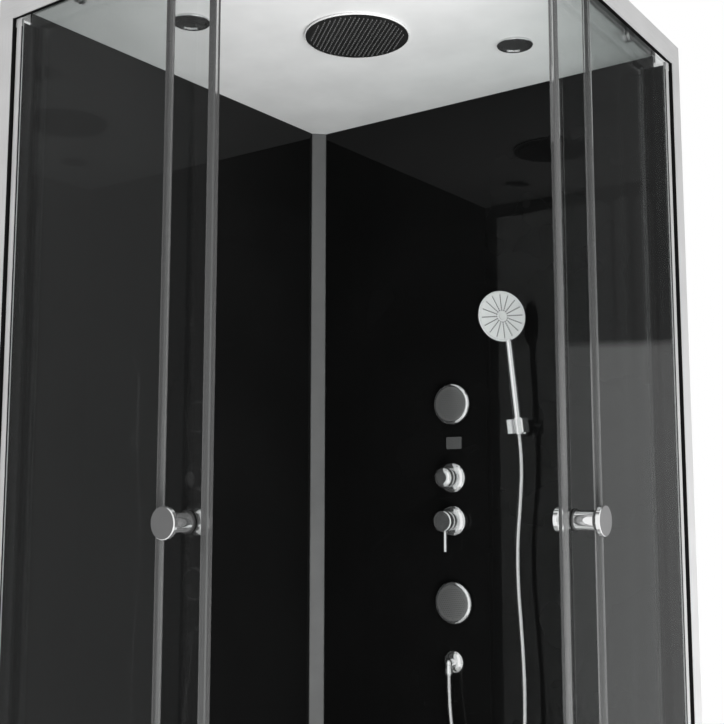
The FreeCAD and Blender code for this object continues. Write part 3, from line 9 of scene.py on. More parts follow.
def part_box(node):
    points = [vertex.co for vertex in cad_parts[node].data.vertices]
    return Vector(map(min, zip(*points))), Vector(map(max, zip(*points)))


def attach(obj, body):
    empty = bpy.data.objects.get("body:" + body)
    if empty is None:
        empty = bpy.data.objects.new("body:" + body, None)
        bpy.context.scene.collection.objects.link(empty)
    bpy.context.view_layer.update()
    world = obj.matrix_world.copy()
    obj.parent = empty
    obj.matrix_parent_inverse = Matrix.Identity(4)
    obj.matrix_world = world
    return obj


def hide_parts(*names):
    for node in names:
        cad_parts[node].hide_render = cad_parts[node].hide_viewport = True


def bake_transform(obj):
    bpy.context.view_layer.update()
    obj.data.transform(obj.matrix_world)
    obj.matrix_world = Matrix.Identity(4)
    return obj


# Looks of the steam shower cabin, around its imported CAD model.  Metres, +Z up.

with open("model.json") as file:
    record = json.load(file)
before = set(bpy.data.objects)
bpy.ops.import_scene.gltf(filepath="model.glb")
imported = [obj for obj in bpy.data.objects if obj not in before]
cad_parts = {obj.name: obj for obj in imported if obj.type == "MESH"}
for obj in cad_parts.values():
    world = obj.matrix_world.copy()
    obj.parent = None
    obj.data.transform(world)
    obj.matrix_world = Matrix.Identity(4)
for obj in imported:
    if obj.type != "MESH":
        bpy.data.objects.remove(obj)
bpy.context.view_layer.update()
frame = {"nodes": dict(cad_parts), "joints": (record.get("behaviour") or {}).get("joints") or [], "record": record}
JOINTS = {joint["name"]: joint for joint in frame["joints"]}

# ---------------------------------------------------------------- places taken over from the model
CEILING_Z = 2.085
HOSE_DIAMETER = 0.012
HEAD_TURN = math.radians(53.0)     # the hand shower's face looks this far from -Y towards +X
HOSE_POINTS = [                    # x, y and the height against the ceiling
    (0.1293, 0.3720, -0.7295), (0.1332, 0.3756, -0.7822), (0.1273, 0.3775, -0.8620),
    (0.1183, 0.3785, -0.9450), (0.1185, 0.3785, -1.0320), (0.1260, 0.3770, -1.1220),
    (0.1310, 0.3750, -1.2150), (0.1305, 0.3725, -1.3100), (0.1286, 0.3705, -1.4100),
    (0.1270, 0.3690, -1.5100), (0.1250, 0.3680, -1.5964), (0.1036, 0.3675, -1.6336),
    (0.0664, 0.3680, -1.6550), (0.0236, 0.3695, -1.6550), (-0.0136, 0.3710, -1.6336),
    (-0.0350, 0.3725, -1.5964), (-0.0370, 0.3760, -1.5150), (-0.0360, 0.3820, -1.4200),
    (-0.0410, 0.3890, -1.3350), (-0.0515, 0.3940, -1.2680), (-0.0515, 0.3940, -1.2180)]


# ---------------------------------------------------------------- camera
CAMERA_AT = Vector((1.1113, -1.5342, 1.2543))
CAMERA_HEADING = Vector((-0.5826, 0.8128, 0.0))
CAMERA_PITCH = math.radians(6.6)
SENSOR = 36.0
FOCAL_PIXELS = 1064.7
FRAME_PIXELS = 724.0


def make_camera():
    data = bpy.data.cameras.new("camera")
    data.sensor_width = SENSOR
    data.lens = FOCAL_PIXELS * SENSOR / FRAME_PIXELS
    camera = bpy.data.objects.new("camera", data)
    bpy.context.scene.collection.objects.link(camera)
    look = CAMERA_HEADING.normalized() * math.cos(CAMERA_PITCH) + Vector((0, 0, math.sin(CAMERA_PITCH)))
    camera.location = CAMERA_AT
    camera.rotation_euler = look.to_track_quat("-Z", "Y").to_euler()
    bpy.context.scene.camera = camera


# ---------------------------------------------------------------- node helpers
NOISE_SPAN = (0.3, 0.7)            # the part of a noise's range that most of it lies in


def new_material(name, colour, roughness, metallic=0.0, **sockets):
    made = bpy.data.materials.new(name)
    made.use_nodes = True
    shader = made.node_tree.nodes["Principled BSDF"]
    shader.inputs["Base Color"].default_value = (*colour, 1.0)
    shader.inputs["Roughness"].default_value = roughness
    shader.inputs["Metallic"].default_value = metallic
    for socket, value in sockets.items():
        shader.inputs[socket.replace("_", " ")].default_value = value
    return made


def shader_of(made):
    return made.node_tree.nodes["Principled BSDF"]


def noise(made, scale, detail=2.0, stretch=(1.0, 1.0, 1.0)):
    """A noise over the object's own coordinates; gives its value from 0 to 1."""
    nodes, links = made.node_tree.nodes, made.node_tree.links
    place = nodes.new("ShaderNodeTexCoord")
    mapping = nodes.new("ShaderNodeMapping")
    mapping.inputs["Scale"].default_value = stretch
    texture = nodes.new("ShaderNodeTexNoise")
    texture.inputs["Scale"].default_value = scale
    texture.inputs["Detail"].default_value = detail
    links.new(place.outputs["Object"], mapping.inputs["Vector"])
    links.new(mapping.outputs["Vector"], texture.inputs["Vector"])
    return texture.outputs["Fac"]


def maths(tree, operation, first, second):
    """One sum, product or comparison; each value is a number or another node's output."""
    node = tree.nodes.new("ShaderNodeMath")
    node.operation = operation
    for socket, value in zip(node.inputs, (first, second)):
        if isinstance(value, (int, float)):
            socket.default_value = value
        else:
            tree.links.new(value, socket)
    return node.outputs["Value"]


def ramp(tree, value, start, end, high, low=0.0):
    """low up to start, high from end on, and an even slope between."""
    node = tree.nodes.new("ShaderNodeMapRange")
    node.inputs["From Min"].default_value = start
    node.inputs["From Max"].default_value = end
    node.inputs["To Min"].default_value = low
    node.inputs["To Max"].default_value = high
    tree.links.new(value, node.inputs["Value"])
    return node.outputs["Result"]


def mixed(tree, share, first, second):
    """The first shader where share is 0, the second where it is 1."""
    node = tree.nodes.new("ShaderNodeMixShader")
    tree.links.new(share, node.inputs["Fac"])
    tree.links.new(first, node.inputs[1])
    tree.links.new(second, node.inputs[2])
    return node.outputs["Shader"]


def vary_colour(made, fac, dark, light):
    """Base colour from dark to light over the middle of a noise."""
    nodes, links = made.node_tree.nodes, made.node_tree.links
    blend = nodes.new("ShaderNodeValToRGB")
    for element, position, colour in zip(blend.color_ramp.elements, NOISE_SPAN, (dark, light)):
        element.position = position
        element.color = (*colour, 1.0)
    links.new(fac, blend.inputs["Fac"])
    links.new(blend.outputs["Color"], shader_of(made).inputs["Base Color"])
    return made


def vary_roughness(made, fac, low, high):
    """Roughness from low to high over the middle of a noise."""
    tree = made.node_tree
    tree.links.new(ramp(tree, fac, *NOISE_SPAN, high, low), shader_of(made).inputs["Roughness"])
    return made


def bump(made, height, strength, distance):
    nodes, links = made.node_tree.nodes, made.node_tree.links
    node = nodes.new("ShaderNodeBump")
    node.inputs["Strength"].default_value = strength
    node.inputs["Distance"].default_value = distance
    links.new(height, node.inputs["Height"])
    links.new(node.outputs["Normal"], shader_of(made).inputs["Normal"])
    return made


def grey(level, cool=0.0):
    return (level - cool, level, level + cool)


# ---------------------------------------------------------------- materials
SEAL_ROUGHNESS = 0.08
REAR_SEAL_CLEAR = 0.85     # share of a door's rear profile that lets everything through
REAR_SEAL_FROM = (0.30, 0.32)      # distance along a front from which a profile is a rear one
LENGTHWISE = {"x": (0.02, 1.0, 1.0), "y": (1.0, 0.02, 1.0), "z": (1.0, 1.0, 0.02)}


def satin_aluminium(axis, level):
    made = new_material("satin_aluminium_" + axis, grey(level), 0.42, 0.6)
    drawn = noise(made, 900.0, 3.0, LENGTHWISE[axis])
    vary_colour(made, drawn, grey(level * 0.95), grey(level * 1.04))
    vary_roughness(made, noise(made, 14.0), 0.36, 0.48)
    return bump(made, drawn, 0.12, 0.0001)


def polished(name, level=0.80):
    made = new_material(name, grey(level, 0.004), 0.05, 0.96)
    cloudy = noise(made, 60.0, 4.0)
    vary_colour(made, cloudy, grey(level * 0.96, 0.004), grey(level, 0.004))
    return vary_roughness(made, cloudy, 0.03, 0.08)


def brushed_steel(name, level, axis="z"):
    made = new_material(name, grey(level), 0.35, 0.9)
    drawn = noise(made, 700.0, 3.0, LENGTHWISE[axis])
    vary_colour(made, drawn, grey(level * 0.88), grey(level * 1.05))
    vary_roughness(made, noise(made, 20.0), 0.28, 0.42)
    return bump(made, drawn, 0.2, 0.0001)


def moulded(name, colour, roughness, grain=1400.0, depth=0.00004, **sockets):
    """Moulded plastic or rubber: fine grain, slightly uneven in colour and gloss."""
    made = new_material(name, colour, roughness, 0.0, **sockets)
    dark = tuple(c * 0.94 for c in colour)
    light = tuple(min(1.0, c * 1.04) for c in colour)
    vary_colour(made, noise(made, 9.0, 3.0), dark, light)
    vary_roughness(made, noise(made, 35.0, 3.0), roughness * 0.9, min(1.0, roughness * 1.15))
    return bump(made, noise(made, grain, 1.0), 0.25, depth)


def lets_lamps_through(made, tint, surface=None):
    """Glass that casts no dark shadow: a Transparent shader for shadow rays."""
    tree = made.node_tree
    clear = tree.nodes.new("ShaderNodeBsdfTransparent")
    clear.inputs["Color"].default_value = (*tint, 1.0)
    path = tree.nodes.new("ShaderNodeLightPath")
    surface = surface or shader_of(made).outputs["BSDF"]
    whole = mixed(tree, path.outputs["Is Shadow Ray"], surface, clear.outputs["BSDF"])
    tree.links.new(whole, tree.nodes["Material Output"].inputs["Surface"])
    return made


def clear_glass():
    made = new_material("clear_glass", (0.89, 0.905, 0.902), 0.0, Transmission_Weight=1.0, IOR=1.45)
    vary_colour(made, noise(made, 2.0, 2.0), (0.885, 0.901, 0.897), (0.895, 0.909, 0.906))
    return lets_lamps_through(made, (0.88, 0.90, 0.895))


def black_panel():
    """Black lacquered glass: nearly black, with a clear reflection."""
    level = 0.0042
    made = new_material("black_panel", grey(level), 0.02, IOR=1.25)
    vary_colour(made, noise(made, 5.0, 3.0), grey(level * 0.9), grey(level * 1.15))
    return made


def soft_profile(name, level, clear):
    """Translucent extruded vinyl; a door's rear profile is clearer than its leading one."""
    made = new_material(name, grey(level), SEAL_ROUGHNESS, Transmission_Weight=clear, IOR=1.3)
    drawn = noise(made, 500.0, 2.0, LENGTHWISE["z"])
    vary_colour(made, drawn, grey(level * 0.9), grey(level))
    tree = made.node_tree
    place = tree.nodes.new("ShaderNodeTexCoord")
    split = tree.nodes.new("ShaderNodeSeparateXYZ")
    tree.links.new(place.outputs["Object"], split.inputs["Vector"])
    along_left_front = maths(tree, "MULTIPLY", split.outputs["X"], -1.0)
    reach = maths(tree, "MAXIMUM", along_left_front, split.outputs["Y"])
    rear = ramp(tree, reach, *REAR_SEAL_FROM, REAR_SEAL_CLEAR)
    clearer = tree.nodes.new("ShaderNodeBsdfTransparent")
    surface = mixed(tree, rear, shader_of(made).outputs["BSDF"], clearer.outputs["BSDF"])
    return lets_lamps_through(made, grey(0.4), surface)


def wound_metal():
    made = new_material("hose_metal", grey(0.66), 0.14, 1.0)
    scuffed = noise(made, 300.0, 3.0)
    vary_colour(made, scuffed, grey(0.56), grey(0.70))
    return vary_roughness(made, scuffed, 0.10, 0.22)


def galvanised():
    made = new_material("frame_steel", grey(0.42), 0.45, 0.8)
    nodes, links = made.node_tree.nodes, made.node_tree.links
    spangle = nodes.new("ShaderNodeTexVoronoi")
    spangle.inputs["Scale"].default_value = 90.0
    place = nodes.new("ShaderNodeTexCoord")
    links.new(place.outputs["Object"], spangle.inputs["Vector"])
    vary_colour(made, spangle.outputs["Distance"], grey(0.36), grey(0.50))
    vary_roughness(made, noise(made, 40.0), 0.35, 0.55)
    return made


def cast_brass(name):
    made = new_material(name, (0.62, 0.46, 0.20), 0.38, 0.9)
    vary_colour(made, noise(made, 40.0, 4.0), (0.50, 0.36, 0.15), (0.66, 0.50, 0.23))
    vary_roughness(made, noise(made, 60.0), 0.30, 0.5)
    return bump(made, noise(made, 900.0, 2.0), 0.4, 0.0002)


def dark_lens():
    made = new_material("spot_glass", grey(0.045), 0.16, IOR=1.5)
    vary_colour(made, noise(made, 50.0), grey(0.040), grey(0.055))
    vary_roughness(made, noise(made, 200.0), 0.12, 0.22)
    return made


MATERIALS = {
    "tray_acrylic": moulded("tray_acrylic", (0.80, 0.80, 0.79), 0.14, 500.0, 0.00001),
    "frame_steel": galvanised(),
    "foot_plastic": moulded("foot_plastic", grey(0.018), 0.5),
    "waste_plastic": moulded("waste_plastic", grey(0.72), 0.45),
    "waste_chrome": polished("waste_chrome"),
    "black_panel": black_panel(),
    "satin_aluminium": satin_aluminium("z", 0.68),
    "rail_x": satin_aluminium("x", 0.68),
    "rail_y": satin_aluminium("y", 0.68),
    "corner_aluminium": moulded("corner_aluminium", grey(0.115), 0.5, 900.0, 0.00002, Metallic=0.3),
    "bracket_steel": brushed_steel("bracket_steel", 0.60, "x"),
    "gasket_rubber": moulded("gasket_rubber", grey(0.003), 0.6, Specular_IOR_Level=0.08),
    "roof_acrylic": moulded("roof_acrylic", (0.76, 0.76, 0.758), 0.45, 1500.0, 0.000005),
    "clear_glass": clear_glass(),
    "edge_profile": soft_profile("edge_profile", 0.85, 0.955),
    "door_profile": soft_profile("door_profile", 0.85, 0.945),
    "hanger_steel": brushed_steel("hanger_steel", 0.62),
    "wheel_plastic": moulded("wheel_plastic", grey(0.70), 0.35),
    "guide_plastic": moulded("guide_plastic", grey(0.40), 0.45),
    "knob_chrome": polished("knob_chrome"),
    "washer_plastic": moulded("washer_plastic", grey(0.012), 0.4),
    "rain_body": moulded("rain_body", grey(0.72), 0.25, 900.0, 0.00002),
    "rain_face": moulded("rain_face", grey(0.017), 0.42, 900.0),
    "rain_nozzle": moulded("rain_nozzle", grey(0.10), 0.5),
    "pipe_steel": brushed_steel("pipe_steel", 0.62),
    "spot_chrome": polished("spot_chrome", 0.72),
    "spot_glass": dark_lens(),
    "display_glass": moulded("display_glass", grey(0.072), 0.12, 300.0, 0.00001),
    "fitting_chrome": polished("fitting_chrome"),
    "valve_brass": cast_brass("valve_brass"),
    "jet_seat": polished("jet_seat", 0.6),
    "jet_chrome": polished("jet_chrome"),
    "jet_mesh": moulded("jet_mesh", grey(0.095), 0.3, 600.0, 0.00002),
    "spray_plastic": moulded("spray_plastic", grey(0.45), 0.22, 600.0, 0.00002),
    "hose_metal": wound_metal(),
    "boiler_steel": brushed_steel("boiler_steel", 0.58, "x"),
}
DRESS_AS = {
    "corner_profile": "corner_aluminium",
    "top_rail_left": "rail_x", "bottom_rail_left": "rail_x",
    "top_rail_right": "rail_y", "bottom_rail_right": "rail_y", "rear_rails": "rail_x"}


def dress_nodes():
    """Gives each CAD node its slot's material, or the one that DRESS_AS names."""
    slots = {part["node"]: part["material_slot"] for part in frame["record"]["subparts"]}
    for node, piece in frame["nodes"].items():
        made = MATERIALS[DRESS_AS.get(node, slots[node])]
        if not piece.material_slots:
            piece.data.materials.append(made)
        for place in piece.material_slots:
            place.material = made


# ---------------------------------------------------------------- mesh helpers
def add_piece(name, mesh, body, slot, material=None):
    """Puts a finished mesh in the scene as a piece that rides on a body."""
    piece = bpy.data.objects.new(name, mesh)
    bpy.context.scene.collection.objects.link(piece)
    mesh.materials.append(MATERIALS[material or slot])
    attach(piece, body)
    return piece


def mesh_of(name, build, smooth=True):
    shape = bmesh.new()
    build(shape)
    bmesh.ops.recalc_face_normals(shape, faces=shape.faces)
    mesh = bpy.data.meshes.new(name)
    shape.to_mesh(mesh)
    shape.free()
    if smooth:
        mesh.shade_smooth()
    return mesh


def facing(normal):
    """Rotation that turns +Z to a direction."""
    return Vector(normal).to_track_quat("Z", "Y").to_matrix().to_4x4()


def add_turned(shape, profile, place, normal, sides):
    """Turns a profile of (radius, height) about normal through place.  Radius 0 closes an end."""
    frame_at = Matrix.Translation(place) @ facing(normal)
    rings = []
    for radius, height in profile:
        if radius == 0:
            rings.append([shape.verts.new(frame_at @ Vector((0, 0, height)))])
            continue
        turns = [2 * math.pi * i / sides for i in range(sides)]
        rings.append([shape.verts.new(frame_at @ Vector((radius * math.cos(a), radius * math.sin(a), height)))
                      for a in turns])
    for below, above in zip(rings, rings[1:]):
        for i in range(sides):
            j = (i + 1) % sides
            corners = [ring[k % len(ring)] for ring, k in ((below, i), (below, j), (above, j), (above, i))]
            kept = [c for k, c in enumerate(corners) if c not in corners[:k]]
            if len(kept) > 2:
                shape.faces.new(kept)


def turned_pieces(name, profile, places, normal, body, slot, sides, material=None):
    """One mesh of equal turned shapes at several places."""
    def build(shape):
        for place in places:
            add_turned(shape, profile, place, normal, sides)
    return add_piece(name, mesh_of(name, build), body, slot, material)


def nozzle_profile(radius, height):
    """Soft spray nozzle: a small cone with a bore."""
    return [(0, -height * 0.2), (radius, -height * 0.2), (radius * 0.8, height * 0.8),
            (radius * 0.62, height), (radius * 0.35, height), (radius * 0.3, height * 0.3), (0, height * 0.25)]


ROW_SHARE = 0.866      # rows of a staggered grid, as a share of the pitch within a row


def round_grid(centre, across, up, radius, pitch):
    """Points of a staggered grid inside a circle."""
    places = []
    row_pitch = pitch * ROW_SHARE
    rows = int(radius / row_pitch)
    for row in range(-rows, rows + 1):
        shift = pitch / 2 if row % 2 else 0.0
        columns = int(radius / pitch) + 1
        for column in range(-columns, columns + 1):
            a = column * pitch + shift
            b = row * row_pitch
            if math.hypot(a, b) <= radius:
                places.append(centre + across * a + up * b)
    return places


# ---------------------------------------------------------------- hose
RIDGE_PITCH = 0.0026
RIDGE_DEPTH = 0.0005
HOSE_SIDES = 16
RIDGE_SHAPE = (0.0, 0.5, 1.0, 0.5)     # depth of the groove over one pitch


def route_points():
    """Points along the smooth line of the hose, read from the route's own spline."""
    data = bpy.data.curves.new("hose_route", "CURVE")
    data.dimensions = "3D"
    data.resolution_u = 16
    spline = data.splines.new("NURBS")
    spline.points.add(len(HOSE_POINTS) - 1)
    for point, (x, y, z) in zip(spline.points, HOSE_POINTS):
        point.co = (x, y, CEILING_Z + z, 1.0)
    spline.order_u = 3
    spline.use_endpoint_u = True
    route = bpy.data.objects.new("hose_route", data)
    bpy.context.scene.collection.objects.link(route)
    line = bpy.data.meshes.new_from_object(route)
    places = [vertex.co.copy() for vertex in line.vertices]
    bpy.data.objects.remove(route)
    bpy.data.meshes.remove(line)
    return places


def shower_hose():
    """The hose along its route, with the winding's ridges."""
    path = route_points()
    gone = [0.0]
    for a, b in zip(path, path[1:]):
        gone.append(gone[-1] + (b - a).length)
    total = gone[-1]
    steps = int(total / (RIDGE_PITCH / len(RIDGE_SHAPE)))

    def at(distance):
        for i in range(1, len(path)):
            if gone[i] >= distance:
                share = (distance - gone[i - 1]) / (gone[i] - gone[i - 1])
                return path[i - 1].lerp(path[i], share)
        return path[-1]

    centres = [at(total * i / steps) for i in range(steps + 1)]

    def build(shape):
        side = Vector((1, 0, 0))
        before = None
        for i, centre in enumerate(centres):
            ahead = centres[min(i + 1, steps)] - centres[max(i - 1, 0)]
            ahead.normalize()
            side = (side - ahead * side.dot(ahead)).normalized()
            other = ahead.cross(side)
            radius = HOSE_DIAMETER / 2 - RIDGE_DEPTH * RIDGE_SHAPE[i % len(RIDGE_SHAPE)]
            ring = []
            for k in range(HOSE_SIDES):
                a = 2 * math.pi * k / HOSE_SIDES
                ring.append(shape.verts.new(centre + (side * math.cos(a) + other * math.sin(a)) * radius))
            if before:
                for k in range(HOSE_SIDES):
                    m = (k + 1) % HOSE_SIDES
                    shape.faces.new((before[k], before[m], ring[m], ring[k]))
            else:
                shape.faces.new(ring)
            before = ring
        shape.faces.new(before)

    mesh = mesh_of("wound_hose", build)
    hose = bpy.data.objects.new("wound_hose", mesh)
    bpy.context.scene.collection.objects.link(hose)
    mesh.materials.append(MATERIALS["hose_metal"])
    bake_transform(hose)
    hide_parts("shower_hose")


# ---------------------------------------------------------------- hand shower
HEAD_ROWS = 16                     # rows of nozzles that run out from the centre
NOZZLES_PER_ROW = 8
FIRST_NOZZLE = 0.0125              # distance of a row's first nozzle from the centre
NOZZLE_STEP = 0.0043
FACE_HALF = 0.00105                # middle of the face plate to its outer side
HEAD_NOZZLE = (0.0014, 0.0010)     # radius and height
HEAD_CENTRE = [(0, -0.0002), (0.0075, -0.0002), (0.0075, 0.0004), (0.0068, 0.0007), (0, 0.0007)]


def handset_details():
    """Rows of nozzles and the round centre on the hand shower's face."""
    swivel = JOINTS["handset_swivel"]
    axis = Vector(swivel["axis"]).normalized()
    flat = Vector((math.sin(HEAD_TURN), -math.cos(HEAD_TURN), 0))
    normal = (flat - axis * flat.dot(axis)).normalized()
    low, high = (Vector(corner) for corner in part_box("handset_face"))
    face = (low + high) / 2 + normal * FACE_HALF
    across = axis.cross(normal).normalized()
    places = []
    for row in range(HEAD_ROWS):
        angle = 2 * math.pi * row / HEAD_ROWS
        for k in range(NOZZLES_PER_ROW):
            reach = FIRST_NOZZLE + k * NOZZLE_STEP
            places.append(face + (across * math.cos(angle) + axis * math.sin(angle)) * reach)
    nozzle = nozzle_profile(*HEAD_NOZZLE)
    turned_pieces("handset_nozzles", nozzle, places, normal, "handset", "gasket_rubber", 8)
    turned_pieces("handset_centre", HEAD_CENTRE, [face], normal, "handset", "spray_plastic", 32)


# ---------------------------------------------------------------- spray faces
JET_SCREEN = [(0, -0.0002), (0.0362, -0.0002), (0.0360, 0.0003), (0.0352, 0.0005), (0, 0.0005)]
JET_GRID_R = 0.032
JET_PITCH = 0.0046
JET_NOZZLE = (0.0011, 0.0009)      # radius and height
RAIN_GRID_R = 0.087
RAIN_PITCH = 0.008
RAIN_NOZZLE = (0.0016, 0.0022)     # radius and height
RAIN_LEAN = math.radians(50.0)     # the rain shower's rows, from +X towards +Y


def jet_details(node):
    """Dark screen and nozzles on a body jet, which is a body of the same name."""
    low, high = (Vector(corner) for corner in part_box(node))
    centre = Vector(((low.x + high.x) / 2, low.y, (low.z + high.z) / 2))
    normal = Vector((0, -1, 0))
    turned_pieces(node + "_screen", JET_SCREEN, [centre], normal, node, "jet_chrome", 64, "jet_mesh")
    places = round_grid(centre, Vector((1, 0, 0)), Vector((0, 0, 1)), JET_GRID_R, JET_PITCH)
    turned_pieces(node + "_nozzles", nozzle_profile(*JET_NOZZLE), places, normal, node, "gasket_rubber", 6)


def rain_details():
    """Square grid of nozzles under the rain shower."""
    face_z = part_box("rain_shower_face")[0][2]
    centre = Vector((0, 0, face_z))
    across = Vector((math.cos(RAIN_LEAN), math.sin(RAIN_LEAN), 0))
    along = Vector((-math.sin(RAIN_LEAN), math.cos(RAIN_LEAN), 0))
    reach = int(RAIN_GRID_R / RAIN_PITCH) + 1
    places = []
    for row in range(-reach, reach + 1):
        for k in range(-reach, reach + 1):
            if math.hypot(row, k) * RAIN_PITCH <= RAIN_GRID_R:
                places.append(centre + across * row * RAIN_PITCH + along * k * RAIN_PITCH)
    turned_pieces("rain_nozzles", nozzle_profile(*RAIN_NOZZLE), places, Vector((0, 0, -1)), "cabin",
                  "spray_plastic", 8, "rain_nozzle")


# ---------------------------------------------------------------- black gasket strips and painted gap shade
POST_INNER = 0.413
# width of the black sheet at the post: painted shade standing for the gap between the aluminium strip and the post
GAP_SHADE_WIDTH = 0.0040
STRIP_EDGE_AT_GLASS = 0.398       # inner edge of the aluminium strip beside the fixed glass
# width of the black band beside the fixed glass: the gasket's own black and painted shade in one
GASKET_SHADE_WIDTH = 0.0028
# thickness of these black sheets, which lie on the faces as painted shade
DARK_STRIP_THICK = 0.0004
STRIP_PLANE = 0.443        # outer face of the aluminium strip
GLASS_PLANE = 0.441        # outer face of the fixed glass
GLAZING_LOW = 0.172
GLAZING_HIGH = 2.045


def add_box(shape, low, high):
    low, high = Vector(low), Vector(high)
    size = high - low
    placed = Matrix.Translation((low + high) / 2) @ Matrix.Diagonal((*size, 1.0))
    bmesh.ops.create_cube(shape, size=1.0, matrix=placed)


def gasket_and_shade_strips():
    """Thin black sheets on both fronts: at the post, painted shade for the gap beside the aluminium strip; along
    the fixed glass, the black gasket together with painted shade.
    """
    # each entry: a black sheet that paints the shade of a gap or of the gasket's channel
    dark_strips = ((-POST_INNER, -POST_INNER + GAP_SHADE_WIDTH, STRIP_PLANE),
            (-STRIP_EDGE_AT_GLASS, -STRIP_EDGE_AT_GLASS + GASKET_SHADE_WIDTH, GLASS_PLANE))

    def build(shape):
        for x0, x1, plane in dark_strips:
            add_box(shape, (x0, -plane - DARK_STRIP_THICK, GLAZING_LOW), (x1, -plane, GLAZING_HIGH))
            add_box(shape, (plane, -x1, GLAZING_LOW), (plane + DARK_STRIP_THICK, -x0, GLAZING_HIGH))

    # black sheets of painted gap shade at the post, and of gasket plus painted shade along the glass
    add_piece("gasket_and_shade_strips", mesh_of("gasket_and_shade_strips", build, smooth=False), "cabin", "gasket_rubber")


# ---------------------------------------------------------------- lamps, world and floor
WORLD_DIFFUSE = 1.0
STUDIO_DARK = 0.05
STUDIO_LEFT = 0.08
STUDIO_LOW = 0.22
STUDIO_BRIGHT = 1.0
LOW_EDGE = 0.128                   # sine of the height where the low part of the studio begins
LOW_SOFTNESS = 0.004
LOW_TOWARDS_Y = (0.80, 0.90)       # where the low part comes in, along +Y and along +X
LOW_TOWARDS_X = (0.0, 0.2)
LEFT_FROM = (-0.62, -0.70)         # where the left part comes in, along -X
BRIGHT_SIDE = math.radians(311.5)  # middle of the studio's bright side, from +X towards +Y
BRIGHT_FROM = (0.10, 0.29)         # where it comes in, as a cosine from its middle


def mirrored_studio(tree):
    """What chrome and glass reflect: a dark studio with a bright side, a faint left part and a low one."""
    place = tree.nodes.new("ShaderNodeTexCoord")
    split = tree.nodes.new("ShaderNodeSeparateXYZ")
    tree.links.new(place.outputs["Generated"], split.inputs["Vector"])
    x, y, z = (split.outputs[k] for k in "XYZ")
    low_part = ramp(tree, z, LOW_EDGE + LOW_SOFTNESS, LOW_EDGE - LOW_SOFTNESS, 1.0)
    low_part = maths(tree, "MULTIPLY", low_part, ramp(tree, x, *LOW_TOWARDS_X, 1.0))
    low_part = maths(tree, "MULTIPLY", low_part, ramp(tree, y, *LOW_TOWARDS_Y, STUDIO_LOW))
    towards_x = maths(tree, "MULTIPLY", x, math.cos(BRIGHT_SIDE))
    towards_y = maths(tree, "MULTIPLY", y, math.sin(BRIGHT_SIDE))
    bright_part = ramp(tree, maths(tree, "ADD", towards_x, towards_y), *BRIGHT_FROM, STUDIO_BRIGHT)
    left_part = ramp(tree, x, *LEFT_FROM, STUDIO_LEFT)
    dark_part = maths(tree, "ADD", STUDIO_DARK, left_part)
    return maths(tree, "ADD", dark_part, maths(tree, "MAXIMUM", low_part, bright_part))


def make_world():
    """White to the eye, even light on the object, and a dark and a bright side in its mirrors."""
    world = bpy.data.worlds.new("studio")
    bpy.context.scene.world = world
    world.use_nodes = True
    world.cycles.sampling_method = "NONE"
    tree = world.node_tree

    def between(low, high, share):
        """low where share is 0, high where it is 1."""
        rest = maths(tree, "MULTIPLY", low, maths(tree, "SUBTRACT", 1.0, share))
        return maths(tree, "ADD", rest, maths(tree, "MULTIPLY", high, share))

    path = tree.nodes.new("ShaderNodeLightPath")
    seen_clear = path.outputs["Is Transmission Ray"]
    was_diffuse = maths(tree, "MINIMUM", path.outputs["Diffuse Depth"], 1.0)
    was_glossy = maths(tree, "MINIMUM", path.outputs["Glossy Depth"], 1.0)
    ends_clear = maths(tree, "MAXIMUM", path.outputs["Is Glossy Ray"], seen_clear)
    in_mirror = maths(tree, "MULTIPLY", ends_clear, was_glossy)
    in_mirror = maths(tree, "MULTIPLY", in_mirror, maths(tree, "SUBTRACT", 1.0, was_diffuse))
    straight = maths(tree, "SUBTRACT", 1.0, maths(tree, "MAXIMUM", was_glossy, was_diffuse))
    through = maths(tree, "MULTIPLY", seen_clear, straight)
    seen = maths(tree, "MAXIMUM", path.outputs["Is Camera Ray"], through)
    level = between(WORLD_DIFFUSE, mirrored_studio(tree), in_mirror)
    level = between(level, 1.0, seen)
    background = tree.nodes["Background"]
    tree.links.new(level, background.inputs["Strength"])
    background.inputs["Color"].default_value = (1, 1, 1, 1)


def add_lamp(name, at, target, size, power):
    """A round soft lamp that lights but shows in no mirror or glass."""
    data = bpy.data.lights.new(name, "AREA")
    data.shape = "DISK"
    data.size = size
    data.energy = power
    lamp = bpy.data.objects.new(name, data)
    bpy.context.scene.collection.objects.link(lamp)
    lamp.location = at
    lamp.rotation_euler = (Vector(target) - Vector(at)).to_track_quat("-Z", "Y").to_euler()
    lamp.visible_glossy = False
    lamp.visible_transmission = False


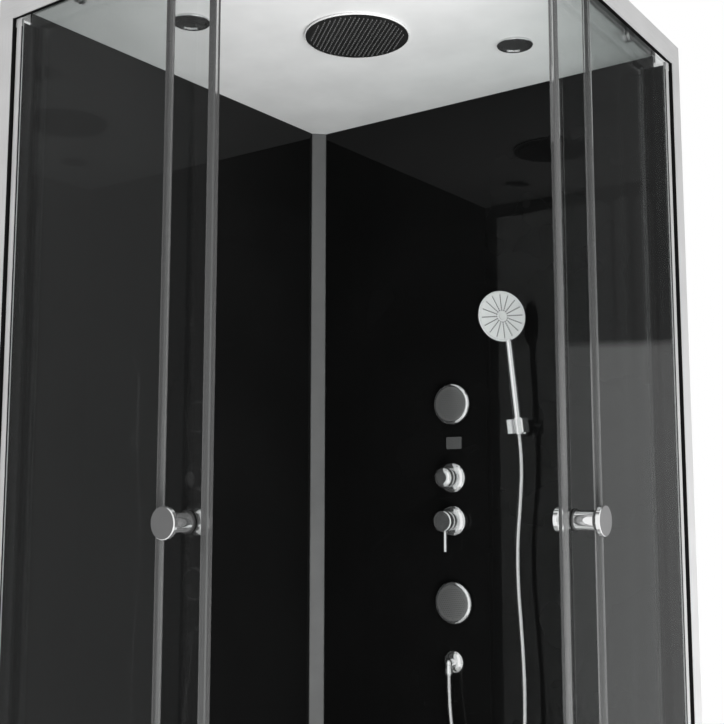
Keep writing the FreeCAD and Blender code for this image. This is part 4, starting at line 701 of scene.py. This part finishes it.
FLOOR_RADIUS = 3.0
FLOOR_FADE = (0.9, 2.6)            # distance from the cabin's middle over which the floor turns white
FLOOR_DROP = 0.0002                # the floor lies this far under the feet


def make_floor():
    """Plain pale floor that runs out into the white background."""
    made = new_material("floor", grey(0.78), 0.6)
    vary_colour(made, noise(made, 3.0), grey(0.77), grey(0.79))
    tree = made.node_tree
    place = tree.nodes.new("ShaderNodeTexCoord")
    reach = tree.nodes.new("ShaderNodeVectorMath")
    reach.operation = "LENGTH"
    tree.links.new(place.outputs["Object"], reach.inputs[0])
    fade = ramp(tree, reach.outputs["Value"], *FLOOR_FADE, 1.0)
    path = tree.nodes.new("ShaderNodeLightPath")
    seen = maths(tree, "MAXIMUM", path.outputs["Is Camera Ray"], path.outputs["Is Transmission Ray"])
    white = tree.nodes.new("ShaderNodeEmission")
    share = maths(tree, "MULTIPLY", seen, fade)
    surface = mixed(tree, share, shader_of(made).outputs["BSDF"], white.outputs["Emission"])
    tree.links.new(surface, tree.nodes["Material Output"].inputs["Surface"])

    def build(shape):
        bmesh.ops.create_circle(shape, cap_ends=True, radius=FLOOR_RADIUS, segments=96)

    floor = bpy.data.objects.new("floor", mesh_of("floor", build, smooth=False))
    bpy.context.scene.collection.objects.link(floor)
    floor.data.materials.append(made)
    floor.location.z = -FLOOR_DROP


make_camera()
make_world()
make_floor()
# name, place, target, size, power in watts
add_lamp("key", (3.6, -1.0, 1.1), (0, 0, 1.2), 2.2, 105)
add_lamp("fill", (-1.6, -3.4, 2.4), (0, 0, 1.6), 2.2, 45)
add_lamp("up", (0.8, -0.6, 0.5), (0.1, 0.1, 2.1), 1.1, 19)
add_lamp("side", (1.75, 0.5, 0.45), (0.45, 0.1, 1.0), 0.7, 16)
bpy.context.scene.view_settings.view_transform = "Standard"
bpy.context.scene.cycles.max_bounces = 16              # enough for the panes that lie behind one another
bpy.context.scene.cycles.transmission_bounces = 14
bpy.context.scene.cycles.transparent_max_bounces = 16

dress_nodes()
shower_hose()
handset_details()
# black sheets of painted gap shade and gasket on both fronts
gasket_and_shade_strips()
jet_details("jet_upper")
jet_details("jet_lower")
rain_details()
